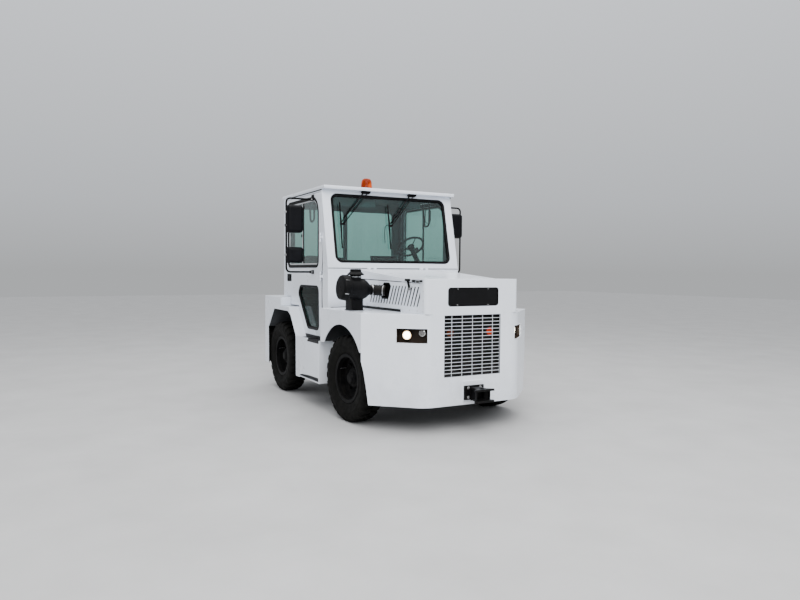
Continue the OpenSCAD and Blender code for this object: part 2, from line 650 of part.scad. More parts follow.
/* ---- wheels ---- */
// one wheel stands with its outer side towards +Y; x is the axle
module tyre_at(x) {
    color("#1b1c1d") translate([x, wheel_y, tyre_r]) rotate([-90, 0, 0]) rotate_extrude($fn = 128)
        polygon([[tyre_bead_r + 0.3, -92], [rim_flange_r + 2, -92], [rim_flange_r + 14, -106], [380, -tyre_w / 2], [440, -tyre_w / 2 + 4], [478, -112], [tyre_r, -80],
                 [tyre_r, 80], [478, 112], [440, tyre_w / 2 - 4], [380, tyre_w / 2], [rim_flange_r + 14, 106], [rim_flange_r + 2, 92], [tyre_bead_r + 0.3, 92]]);
}
module rim_at(x) {
    color("#202224") translate([x, wheel_y, tyre_r]) rotate([-90, 0, 0]) difference() {
        rotate_extrude($fn = 128) union() {
            // barrel with flanges
            polygon([[242, -100], [rim_flange_r, -100], [rim_flange_r, -93], [tyre_bead_r, -93], [tyre_bead_r, 93], [rim_flange_r, 93], [rim_flange_r, 100], [242, 100]]);
            // disc and hub
            polygon([[spindle_r + run, -60], [150, -60], [243, -20], [243, -6], [150, -46], [110, -46], [110, 20], [85, 34], [spindle_r + run, 34]]);
        }
        for (a = [0:45:315]) rotate([0, 0, a]) translate([190, 0, -80]) cylinder(r = 22, h = 100, $fn = 32);
    }
}
module front_tyre_left() { steered(1) tyre_at(front_axle_x); }
module front_tyre_right() { steered(-1) mirror([0, 1, 0]) tyre_at(front_axle_x); }
module rear_tyre_left() { tyre_at(rear_axle_x); }
module rear_tyre_right() { mirror([0, 1, 0]) tyre_at(rear_axle_x); }
module front_rim_left() { steered(1) rim_at(front_axle_x); }
module front_rim_right() { steered(-1) mirror([0, 1, 0]) rim_at(front_axle_x); }
module rear_rim_left() { rim_at(rear_axle_x); }
module rear_rim_right() { mirror([0, 1, 0]) rim_at(rear_axle_x); }

/* ---- roof and deck fittings ---- */
module beacon() {
    color("orange") union() {
        translate([-729, 0, roof_z + roof_t]) cylinder(r = 84, h = 60, $fn = 64);
        translate([-729, 0, roof_z + roof_t + 60]) cylinder(r = 80, h = 120, $fn = 64);
        translate([-729, 0, roof_z + roof_t + 180]) cylinder(r1 = 80, r2 = 40, h = 57, $fn = 64);
    }
}
// wipers: y of the pivot cover, y and slope length of the blade's middle
wiper_table = [[-350, -737], [334, -52]];
module wipers() {
    color("#202224") translate([cab_x, 0, belt_z]) rotate([0, -lean, 0]) for (w = wiper_table) union() {
        box(1, 46, w[0] - 65, w[0] + 65, 982, 1011);
        for (d = [-30, 30]) wiper_arm([w[0] + d, 998], [w[1] + d * 0.7 + 10, 561]);
        box(22, 40, w[1] - 27, w[1] + 49, 542, 579);
        translate([24, w[1], 560]) rotate([-1.5, 0, 0]) box(-20, 1, -9, 9, -310, 290);
    }
}
module wiper_arm(a, b) {
    l = norm(b - a);
    translate([32, a[0], a[1]]) rotate([atan2(b[1] - a[1], b[0] - a[0]), 0, 0]) translate([-4, 0, -6]) cube([8, l, 12]);
}
// middle of the air cleaner's cover, its slope and the start of the hose
air_x = 942;
air_y = -1126;
air_z = 1526;
air_tilt = 5;
hose_y = -737;
hose_z = 1491;
module air_cleaner() {
    color("#202224") union() {
        // cover, body and outlet cone, leaning down towards the hood
        translate([air_x, air_y, air_z]) rotate([-90 - air_tilt, 0, 0]) rotate_extrude($fn = 96)
            polygon([[0, 0], [118, 0], [132, 5], [140, 14], [143, 28], [143, 88], [118, 98], [118, 268], [112, 292], [102, 312], [86, 334], [70, 352], [60, 364], [57, 384], [0, 384]]);
        // neck and rain cap
        rod_z(air_x, -935, 1590, 1666, 64);
        translate([air_x, -935, 1660]) cylinder(r = 96, h = 12, $fn = 64);
        translate([air_x, -935, 1672]) cylinder(r1 = 96, r2 = 66, h = 24, $fn = 64);
        translate([air_x, -935, 1696]) cylinder(r = 62, h = 34, $fn = 64);
        // bracket on the deck
        box(775, 945, -985, -840, deck_z, 1425);
    }
}
module intake_hose() {
    color("#26282a") translate([air_x, hose_y, hose_z]) union() {
        rotate([-90, 0, 0]) cylinder(r = 62, h = 22, $fn = 64);
        // slanted run to the hood
        multmatrix([[1, 0.76, 0, 0], [0, 1, 0, 0], [0, -0.05, 1, 0], [0, 0, 0, 1]]) rotate([-90, 0, 0]) cylinder(r = 62, h = -606 - hose_y, $fn = 64);
    }
}

chassis_frame();
front_shell();
front_fenders();
hood_sides();
hood_lid();
grille();
front_plate();
lamps();
front_coupling();
rear_coupling();
cab_front();
cab_frame();
cab_roof();
cab_floor();
cab_glass();
dashboard();
steering_wheel();
seats();
door_right();
door_left();
door_glass_right();
door_glass_left();
mirror_right();
mirror_left();
rear_body();
rear_fenders();
step_boxes();
front_axle();
rear_axle();
knuckle_right();
knuckle_left();
leaf_springs();
powertrain();
front_rim_right();
front_rim_left();
rear_rim_right();
rear_rim_left();
front_tyre_right();
front_tyre_left();
rear_tyre_right();
rear_tyre_left();
beacon();
wipers();
air_cleaner();
intake_hose();
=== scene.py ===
import json
import math
import random

import bmesh
import bpy
from mathutils import Matrix, Vector


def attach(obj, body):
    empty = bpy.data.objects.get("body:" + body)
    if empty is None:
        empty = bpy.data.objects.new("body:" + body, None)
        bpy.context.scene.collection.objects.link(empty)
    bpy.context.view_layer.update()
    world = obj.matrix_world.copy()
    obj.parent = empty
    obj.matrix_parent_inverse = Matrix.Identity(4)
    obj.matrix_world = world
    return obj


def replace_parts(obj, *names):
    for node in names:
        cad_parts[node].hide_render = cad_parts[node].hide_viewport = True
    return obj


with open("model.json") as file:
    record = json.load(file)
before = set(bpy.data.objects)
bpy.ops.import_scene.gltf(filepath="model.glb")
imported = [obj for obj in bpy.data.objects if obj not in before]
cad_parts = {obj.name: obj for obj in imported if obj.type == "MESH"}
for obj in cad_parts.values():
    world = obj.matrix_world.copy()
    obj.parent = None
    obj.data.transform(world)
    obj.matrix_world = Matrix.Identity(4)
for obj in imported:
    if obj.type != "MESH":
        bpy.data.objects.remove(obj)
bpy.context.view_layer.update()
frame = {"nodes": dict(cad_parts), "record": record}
nodes = frame["nodes"]


# ------------------------------------------------------------------ camera
def place_camera():
    yaw, pitch, roll = math.radians(28.578), math.radians(2.418), math.radians(0.343)
    up = Vector((0, 0, 1))
    d = Vector((-math.cos(yaw), math.sin(yaw), 0))
    f = d * math.cos(pitch) - up * math.sin(pitch)
    u = d * math.sin(pitch) + up * math.cos(pitch)
    r = f.cross(u)
    right = r * math.cos(roll) + u * math.sin(roll)
    top = -r * math.sin(roll) + u * math.cos(roll)
    cam = bpy.data.cameras.new("camera")
    cam.sensor_width = 36.0
    cam.sensor_fit = "HORIZONTAL"
    cam.lens = 29.88
    cam.clip_end = 200
    ob = bpy.data.objects.new("camera", cam)
    bpy.context.scene.collection.objects.link(ob)
    m = Matrix((right, top, -f)).transposed().to_4x4()
    m.translation = Vector((7.7827, -4.0869, 1.70))
    ob.matrix_world = m
    bpy.context.scene.camera = ob


place_camera()


# ------------------------------------------------------------------ material helpers
def new_mat(name):
    m = bpy.data.materials.new(name)
    m.use_nodes = True
    nt = m.node_tree
    return m, nt, nt.nodes["Principled BSDF"]


def coords(nt, scale=(1, 1, 1)):
    tc = nt.nodes.new("ShaderNodeTexCoord")
    mp = nt.nodes.new("ShaderNodeMapping")
    mp.inputs["Scale"].default_value = scale
    nt.links.new(tc.outputs["Object"], mp.inputs["Vector"])
    return mp.outputs["Vector"]


def noise(nt, vec, scale, detail=4, rough=0.55, distort=0.0):
    n = nt.nodes.new("ShaderNodeTexNoise")
    n.inputs["Scale"].default_value = scale
    n.inputs["Detail"].default_value = detail
    n.inputs["Roughness"].default_value = rough
    n.inputs["Distortion"].default_value = distort
    nt.links.new(vec, n.inputs["Vector"])
    return n.outputs["Fac"]


def ramp(nt, fac, stops):
    r = nt.nodes.new("ShaderNodeValToRGB")
    e = r.color_ramp.elements
    e[0].position, e[0].color = stops[0][0], stops[0][1]
    e[1].position, e[1].color = stops[-1][0], stops[-1][1]
    for p, c in stops[1:-1]:
        k = e.new(p)
        k.color = c
    nt.links.new(fac, r.inputs["Fac"])
    return r.outputs["Color"]


def grey(v, a=1.0):
    return (v, v, v, a)


def rgba(c, k=1.0):
    return (c[0] * k, c[1] * k, c[2] * k, 1.0)


def mix_rgb(nt, fac, a, b, mode="MIX"):
    n = nt.nodes.new("ShaderNodeMix")
    n.data_type = "RGBA"
    n.blend_type = mode
    socks = (n.inputs[0], n.inputs[6], n.inputs[7])
    for sock, val in zip(socks, (fac, a, b)):
        if isinstance(val, (tuple, list, float, int)):
            sock.default_value = val
        else:
            nt.links.new(val, sock)
    return n.outputs[2]


def math_node(nt, op, a, b=None, clamp=False):
    n = nt.nodes.new("ShaderNodeMath")
    n.operation = op
    n.use_clamp = clamp
    for sock, val in zip(n.inputs, (a, b)):
        if val is None:
            continue
        if isinstance(val, (float, int)):
            sock.default_value = val
        else:
            nt.links.new(val, sock)
    return n.outputs["Value"]


def add_bump(nt, bsdf, height, strength, distance):
    b = nt.nodes.new("ShaderNodeBump")
    b.inputs["Strength"].default_value = strength
    b.inputs["Distance"].default_value = distance
    nt.links.new(height, b.inputs["Height"])
    nt.links.new(b.outputs["Normal"], bsdf.inputs["Normal"])
    return b


def height_band(nt, z0, z1):
    """1 at and below z0, falling to 0 at z1."""
    sep = nt.nodes.new("ShaderNodeSeparateXYZ")
    nt.links.new(coords(nt), sep.inputs["Vector"])
    r = nt.nodes.new("ShaderNodeMapRange")
    r.inputs["From Min"].default_value = z0
    r.inputs["From Max"].default_value = z1
    r.inputs["To Min"].default_value = 1.0
    r.inputs["To Max"].default_value = 0.0
    nt.links.new(sep.outputs["Z"], r.inputs["Value"])
    return r.outputs["Result"]


def basic(name, color, rough, metallic=0.0, vary=0.12, scale=6.0, bump=0.0, bump_scale=300.0, bump_dist=0.0004,
          rough_vary=0.08, coat=0.0, spec=0.5, dust=0.0, dust_color=(0.20, 0.18, 0.15)):
    m, nt, b = new_mat(name)
    v = coords(nt)
    base = ramp(nt, noise(nt, v, scale, 6), [(0.3, rgba(color, 1 - vary)), (0.7, rgba(color, 1 + vary))])
    if dust:
        d = ramp(nt, noise(nt, v, scale * 1.7 + 3, 8, 0.65), [(0.42, grey(0.0)), (0.75, grey(1.0))])
        low = height_band(nt, 0.15, 1.1)
        base = mix_rgb(nt, math_node(nt, "MULTIPLY", math_node(nt, "MULTIPLY", d, low), dust), base, rgba(dust_color))
    nt.links.new(base, b.inputs["Base Color"])
    n2 = noise(nt, v, scale * 3.1, 5)
    nt.links.new(ramp(nt, n2, [(0.3, grey(max(0.02, rough - rough_vary))), (0.7, grey(min(1, rough + rough_vary)))]), b.inputs["Roughness"])
    b.inputs["Metallic"].default_value = metallic
    b.inputs["Specular IOR Level"].default_value = spec
    if coat:
        b.inputs["Coat Weight"].default_value = coat
        b.inputs["Coat Roughness"].default_value = 0.06
    if bump:
        add_bump(nt, b, noise(nt, v, bump_scale, 3), bump, bump_dist)
    return m


def paint_white():
    """Gloss white enamel with faint road film, streaks and a dirty lower edge."""
    m, nt, b = new_mat("body_white")
    v = coords(nt)
    base = ramp(nt, noise(nt, v, 1.1, 5), [(0.35, (0.80, 0.845, 0.92, 1)), (0.65, (0.865, 0.905, 0.975, 1))])
    # run-down streaks: noise stretched along Z
    vs = coords(nt, (9.0, 9.0, 0.55))
    streak = ramp(nt, noise(nt, vs, 1.6, 6, 0.6), [(0.50, grey(0.0)), (0.75, grey(1.0))])
    base = mix_rgb(nt, math_node(nt, "MULTIPLY", streak, 0.07), base, (0.50, 0.50, 0.49, 1))
    # road film low on the body
    film = math_node(nt, "MULTIPLY", height_band(nt, 0.28, 0.75), ramp(nt, noise(nt, v, 5.0, 7, 0.65), [(0.35, grey(0.1)), (0.75, grey(1.0))]))
    base = mix_rgb(nt, math_node(nt, "MULTIPLY", film, 0.28), base, (0.36, 0.34, 0.31, 1))
    # small specks
    spk = ramp(nt, noise(nt, v, 60.0, 2, 0.5), [(0.73, grey(0.0)), (0.78, grey(1.0))])
    base = mix_rgb(nt, math_node(nt, "MULTIPLY", spk, 0.22), base, (0.42, 0.41, 0.39, 1))
    nt.links.new(base, b.inputs["Base Color"])
    nt.links.new(ramp(nt, noise(nt, v, 3.0, 6), [(0.3, grey(0.24)), (0.7, grey(0.40))]), b.inputs["Roughness"])
    b.inputs["Coat Weight"].default_value = 0.5
    b.inputs["Coat Roughness"].default_value = 0.12
    # slight waviness of the panels and orange peel
    h = math_node(nt, "ADD", noise(nt, v, 2.3, 2, 0.4), math_node(nt, "MULTIPLY", noise(nt, v, 240.0, 2, 0.5), 0.004))
    add_bump(nt, b, h, 0.12, 0.004)
    return m


def tyre_mat():
    m, nt, b = new_mat("tyre")
    v = coords(nt)
    base = ramp(nt, noise(nt, v, 7.0, 6), [(0.3, (0.0032, 0.0033, 0.003, 1)), (0.7, (0.0065, 0.0065, 0.006, 1))])
    d = ramp(nt, noise(nt, v, 11.0, 8, 0.7), [(0.40, grey(0.0)), (0.70, grey(1.0))])
    base = mix_rgb(nt, math_node(nt, "MULTIPLY", d, 0.30), base, (0.020, 0.018, 0.016, 1))
    nt.links.new(base, b.inputs["Base Color"])
    nt.links.new(ramp(nt, noise(nt, v, 20.0, 5), [(0.3, grey(0.62)), (0.7, grey(0.86))]), b.inputs["Roughness"])
    b.inputs["Specular IOR Level"].default_value = 0.07
    add_bump(nt, b, noise(nt, v, 190.0, 4, 0.6), 0.5, 0.0007)
    return m


def glass_mat(name, lo, hi, ior=1.45, low=None):
    m, nt, b = new_mat(name)
    v = coords(nt)
    base = ramp(nt, noise(nt, v, 2.0, 4), [(0.3, rgba(lo)), (0.7, rgba(hi))])
    if low:
        # the small panes low in the doors are darkened: painted shade of the dim well seen through them
        dark = ramp(nt, noise(nt, v, 2.0, 4), [(0.3, rgba(low[0])), (0.7, rgba(low[1]))])
        base = mix_rgb(nt, height_band(nt, low[2], low[3]), base, dark)
    nt.links.new(base, b.inputs["Base Color"])
    nt.links.new(ramp(nt, noise(nt, v, 5.0, 5), [(0.35, grey(0.0)), (0.8, grey(0.03))]), b.inputs["Roughness"])
    b.inputs["Transmission Weight"].default_value = 1.0
    b.inputs["IOR"].default_value = ior
    if low:
        # and shine less
        drop = math_node(nt, "MULTIPLY", height_band(nt, low[2], low[3]), ior - 1.16)
        nt.links.new(math_node(nt, "SUBTRACT", ior, drop), b.inputs["IOR"])
    return m


def lens_mat(name, color, glow=0.0, trans=0.5, rough=0.12, scale=220.0, spec=0.5, core=None):
    """Coloured moulded plastic lens with fine prisms; glow lights it a little from within."""
    m, nt, b = new_mat(name)
    v = coords(nt)
    base = ramp(nt, noise(nt, v, 14.0, 3), [(0.3, rgba(color, 0.88)), (0.7, rgba(color, 1.0))])
    if core:
        # brighter patches where the light inside is nearest
        base = mix_rgb(nt, ramp(nt, noise(nt, v, 9.0, 2, 0.4), [(0.45, grey(0.0)), (0.62, grey(1.0))]), base, rgba(core))
    b.inputs["Specular IOR Level"].default_value = spec
    nt.links.new(base, b.inputs["Base Color"])
    nt.links.new(ramp(nt, noise(nt, v, 30.0, 3), [(0.3, grey(max(0.02, rough - 0.05))), (0.7, grey(rough + 0.06))]), b.inputs["Roughness"])
    b.inputs["Transmission Weight"].default_value = trans
    b.inputs["IOR"].default_value = 1.49
    if glow:
        b.inputs["Emission Color"].default_value = rgba(color)
        b.inputs["Emission Strength"].default_value = glow
    w = nt.nodes.new("ShaderNodeTexWave")
    w.inputs["Scale"].default_value = scale
    w.inputs["Distortion"].default_value = 0.0
    w.bands_direction = "Z"
    nt.links.new(v, w.inputs["Vector"])
    add_bump(nt, b, w.outputs["Fac"], 0.35, 0.0012)
    return m


def lit_mat(name, color, strength):
    m, nt, b = new_mat(name)
    v = coords(nt)
    nt.links.new(ramp(nt, noise(nt, v, 90.0, 3), [(0.3, rgba(color, 0.9)), (0.7, rgba(color, 1.0))]), b.inputs["Emission Color"])
    b.inputs["Emission Strength"].default_value = strength
    b.inputs["Base Color"].default_value = rgba(color)
    b.inputs["Roughness"].default_value = 0.25
    return m


def vinyl():
    m, nt, b = new_mat("seat_vinyl")
    v = coords(nt)
    nt.links.new(ramp(nt, noise(nt, v, 5.0, 6), [(0.3, (0.010, 0.010, 0.011, 1)), (0.7, (0.020, 0.020, 0.023, 1))]), b.inputs["Base Color"])
    nt.links.new(ramp(nt, noise(nt, v, 16.0, 5), [(0.3, grey(0.38)), (0.7, grey(0.58))]), b.inputs["Roughness"])
    vo = nt.nodes.new("ShaderNodeTexVoronoi")
    vo.inputs["Scale"].default_value = 420.0
    nt.links.new(v, vo.inputs["Vector"])
    add_bump(nt, b, vo.outputs["Distance"], 0.35, 0.0006)
    return m


M = {}
M["body_white"] = paint_white()
M["chassis_black"] = basic("chassis_black", (0.010, 0.010, 0.011), 0.6, vary=0.4, bump=0.3, dust=0.3, spec=0.2)
M["cast_black"] = basic("cast_black", (0.007, 0.007, 0.0075), 0.62, vary=0.4, bump=0.5, bump_scale=120, bump_dist=0.001, dust=0.35, spec=0.2)
M["coupling_black"] = basic("coupling_black", (0.0028, 0.0028, 0.0032), 0.42, vary=0.5, bump=0.3, dust=0.04, spec=0.12)
M["engine_grey"] = basic("engine_grey", (0.006, 0.006, 0.0065), 0.7, vary=0.4, bump=0.4, spec=0.1)
M["trim_black"] = basic("trim_black", (0.003, 0.003, 0.0034), 0.48, vary=0.3, bump=0.15, spec=0.10)
M["trim_plastic"] = basic("trim_plastic", (0.0034, 0.0036, 0.005), 0.46, vary=0.25, bump=0.3, bump_scale=500, spec=0.10)
M["lamp_housing"] = basic("lamp_housing", (0.005, 0.0045, 0.004), 0.50, vary=0.3, bump=0.2, spec=0.15)
M["beacon_amber"] = lens_mat("beacon_amber", (0.20, 0.018, 0.0006), glow=0.04, trans=0.02, scale=60.0, spec=0.12, core=(0.50, 0.062, 0.002))
M["floor_rubber"] = basic("floor_rubber", (0.012, 0.012, 0.012), 0.8, vary=0.4, bump=0.5, bump_scale=200, spec=0.15)
M["seat_vinyl"] = vinyl()
M["rim_black"] = basic("rim_black", (0.0028, 0.0028, 0.0032), 0.50, vary=0.4, bump=0.12, dust=0.05, spec=0.08)
M["tyre"] = tyre_mat()
M["hose_rubber"] = basic("hose_rubber", (0.006, 0.0052, 0.0045), 0.5, vary=0.3, bump=0.3, spec=0.2)
# the low band of darker tint is painted shade for the shaded well behind the lower door panes
M["window_glass"] = glass_mat("window_glass", (0.50, 0.755, 0.70), (0.55, 0.80, 0.75), low=((0.085, 0.20, 0.17), (0.11, 0.25, 0.21), 1.50, 1.62))
# finishes of the detail pieces
undercoat = basic("undercoat", (0.006, 0.006, 0.006), 0.8, vary=0.4, bump=0.6, bump_scale=160, bump_dist=0.0012, dust=0.25, spec=0.12)
lining = basic("cab_lining", (0.062, 0.076, 0.086), 0.75, vary=0.12, bump=0.4, bump_scale=420, spec=0.2)
steel = basic("bright_steel", (0.62, 0.62, 0.63), 0.26, metallic=1.0, vary=0.12, scale=14, bump=0.1)
zinc = basic("zinc_bolt", (0.40, 0.40, 0.40), 0.38, metallic=1.0, vary=0.2, scale=20, bump=0.15)
dull_steel = basic("dull_steel", (0.10, 0.10, 0.10), 0.5, metallic=1.0, vary=0.3, scale=20, bump=0.15)
alu = basic("window_rail", (0.58, 0.60, 0.62), 0.38, metallic=0.3, vary=0.1, scale=12, bump=0.1)
mirror_glass = basic("mirror_glass", (0.75, 0.78, 0.80), 0.03, metallic=1.0, vary=0.03, rough_vary=0.015)
chrome = basic("reflector", (0.80, 0.79, 0.76), 0.10, metallic=1.0, vary=0.05, rough_vary=0.04)
clear_lens = glass_mat("lamp_glass", (0.93, 0.95, 0.95), (0.97, 0.98, 0.98))
gloss_black = basic("gloss_black", (0.0025, 0.0025, 0.003), 0.22, vary=0.3, rough_vary=0.05, coat=0.12, spec=0.2)
amber = lens_mat("lens_amber", (0.90, 0.16, 0.01), glow=0.08, trans=0.2)
marker_lit = lens_mat("lens_marker_lit", (0.30, 0.020, 0.008), glow=0.60, trans=0.0, spec=0.2)
marker_dim = lens_mat("lens_marker", (0.085, 0.022, 0.011), glow=0.10, trans=0.0, spec=0.2)
red = lens_mat("lens_red", (0.60, 0.012, 0.010), glow=0.05, trans=0.3)
white_lens = lens_mat("lens_white", (0.85, 0.85, 0.85), trans=0.6)
lamp_hot = lit_mat("lamp_hot", (1.0, 0.93, 0.80), 14.0)
lamp_warm = lit_mat("lamp_warm", (1.0, 0.70, 0.40), 3.0)
lamp_bay = basic("lamp_bay", (0.030, 0.020, 0.014), 0.6, vary=0.4, bump=0.2, spec=0.2)
lamp_dull = basic("lamp_dull", (0.10, 0.095, 0.095), 0.35, metallic=0.4, vary=0.5, scale=30, bump=0.2)
# grey for faces that are white paint in shade: painted shade inside the wheel houses and under the roof edge, with dust
painted_shade_grey = basic("painted_shade_grey", (0.062, 0.066, 0.072), 0.7, vary=0.35, scale=3, bump=0.5, bump_scale=140, bump_dist=0.001, dust=0.3, spec=0.2)
grating = basic("step_grating", (0.16, 0.165, 0.17), 0.45, metallic=0.5, vary=0.3, bump=0.4, bump_scale=200)
tread_grey = basic("tread_grey", (0.022, 0.022, 0.024), 0.62, vary=0.25, bump=0.6, bump_scale=330, dust=0.1, spec=0.2)
dial_face = basic("dial_face", (0.012, 0.012, 0.013), 0.30, vary=0.2)
dial_mark = basic("dial_mark", (0.75, 0.75, 0.72), 0.5, vary=0.05)

slot_of = {s["node"]: s["material_slot"] for s in frame["record"]["subparts"]}
body_of = {s["node"]: s.get("body") for s in frame["record"]["subparts"]}
for name, ob in nodes.items():
    mat = M[slot_of[name]]
    if not ob.material_slots:
        ob.data.materials.append(mat)
    for s in ob.material_slots:
        s.material = mat


# ------------------------------------------------------------------ mesh helpers (row frame, millimetres)
def rounded(pts, n=6):
    out = []
    c = len(pts)
    for i in range(c):
        p = Vector(pts[i][:2])
        a = Vector(pts[i - 1][:2])
        b = Vector(pts[(i + 1) % c][:2])
        r = pts[i][2]
        if r <= 0.01:
            out.append(tuple(p))
            continue
        u = (a - p).normalized()
        v = (b - p).normalized()
        h = math.acos(max(-1, min(1, u.dot(v)))) / 2
        if h > 1.55:
            out.append(tuple(p))
            continue
        l = r / math.tan(h)
        m = (u + v).normalized()
        k = p + m * (r / math.sin(h))
        s = math.atan2(p.y + u.y * l - k.y, p.x + u.x * l - k.x)
        e = math.atan2(p.y + v.y * l - k.y, p.x + v.x * l - k.x)
        d = e - s
        if d > math.pi:
            d -= 2 * math.pi
        if d < -math.pi:
            d += 2 * math.pi
        for j in range(n + 1):
            t = s + d * j / n
            out.append((k.x + r * math.cos(t), k.y + r * math.sin(t)))
    return out


def grow(pts, d):
    """Corners (u, v, radius) of a convex outline, moved outwards by d."""
    n = len(pts)
    area = sum(pts[i - 1][0] * pts[i][1] - pts[i][0] * pts[i - 1][1] for i in range(n))
    s = 1 if area > 0 else -1
    out = []
    for i in range(n):
        p0, p1, p2 = Vector(pts[i - 1][:2]), Vector(pts[i][:2]), Vector(pts[(i + 1) % n][:2])
        e1, e2 = (p1 - p0).normalized(), (p2 - p1).normalized()
        n1, n2 = Vector((e1.y, -e1.x)) * s, Vector((e2.y, -e2.x)) * s
        m = (n1 + n2) / (1 + n1.dot(n2)) * d
        out.append((p1.x + m.x, p1.y + m.y, max(pts[i][2] + d, 1.0)))
    return out


def rect(u0, u1, v0, v1, r):
    return [(u0, v0, r), (u1, v0, r), (u1, v1, r), (u0, v1, r)]


def side_frame(s, y):
    """(along X, up, outwards) on a side face at |Y| = y; s is -1 on the right."""
    return lambda u, v, w: Vector((u, s * (y + w), v))


def x_frame(x, d=1):
    """(along Y, up, outwards) on a face across the vehicle."""
    return lambda u, v, w: Vector((x + d * w, u, v))


def z_frame(z):
    return lambda u, v, w: Vector((u, v, z + w))


LEAN = math.atan(0.22)
SL, CL = math.sin(LEAN), math.cos(LEAN)


def screen_frame(u, v, w):
    """(across, up the slope, outwards) on the windscreen panel."""
    return Vector((175 - v * SL + w * CL, u, 1745 + v * CL + w * SL))


def corner_matrix(s):
    """Slanted corner panel: x outwards, y towards the middle, z up; s is -1 on the right."""
    return Matrix(((0.7232, 0.6906, 0, 1925), (-s * -0.6906, -s * 0.7232, 0, s * 589), (0, 0, 1, 0), (0, 0, 0, 1)))


def bend_path(pts, r, n=6):
    """A polyline with its inner corners rounded."""
    out = [Vector(pts[0])]
    for i in range(1, len(pts) - 1):
        a, p, b = Vector(pts[i - 1]), Vector(pts[i]), Vector(pts[i + 1])
        u, v = (a - p), (b - p)
        k = min(r, u.length * 0.49, v.length * 0.49)
        u.normalize()
        v.normalize()
        for j in range(n + 1):
            t = j / n
            out.append((p + u * k) * (1 - t) ** 2 + p * 2 * t * (1 - t) + (p + v * k) * t ** 2)
    out.append(Vector(pts[-1]))
    return out


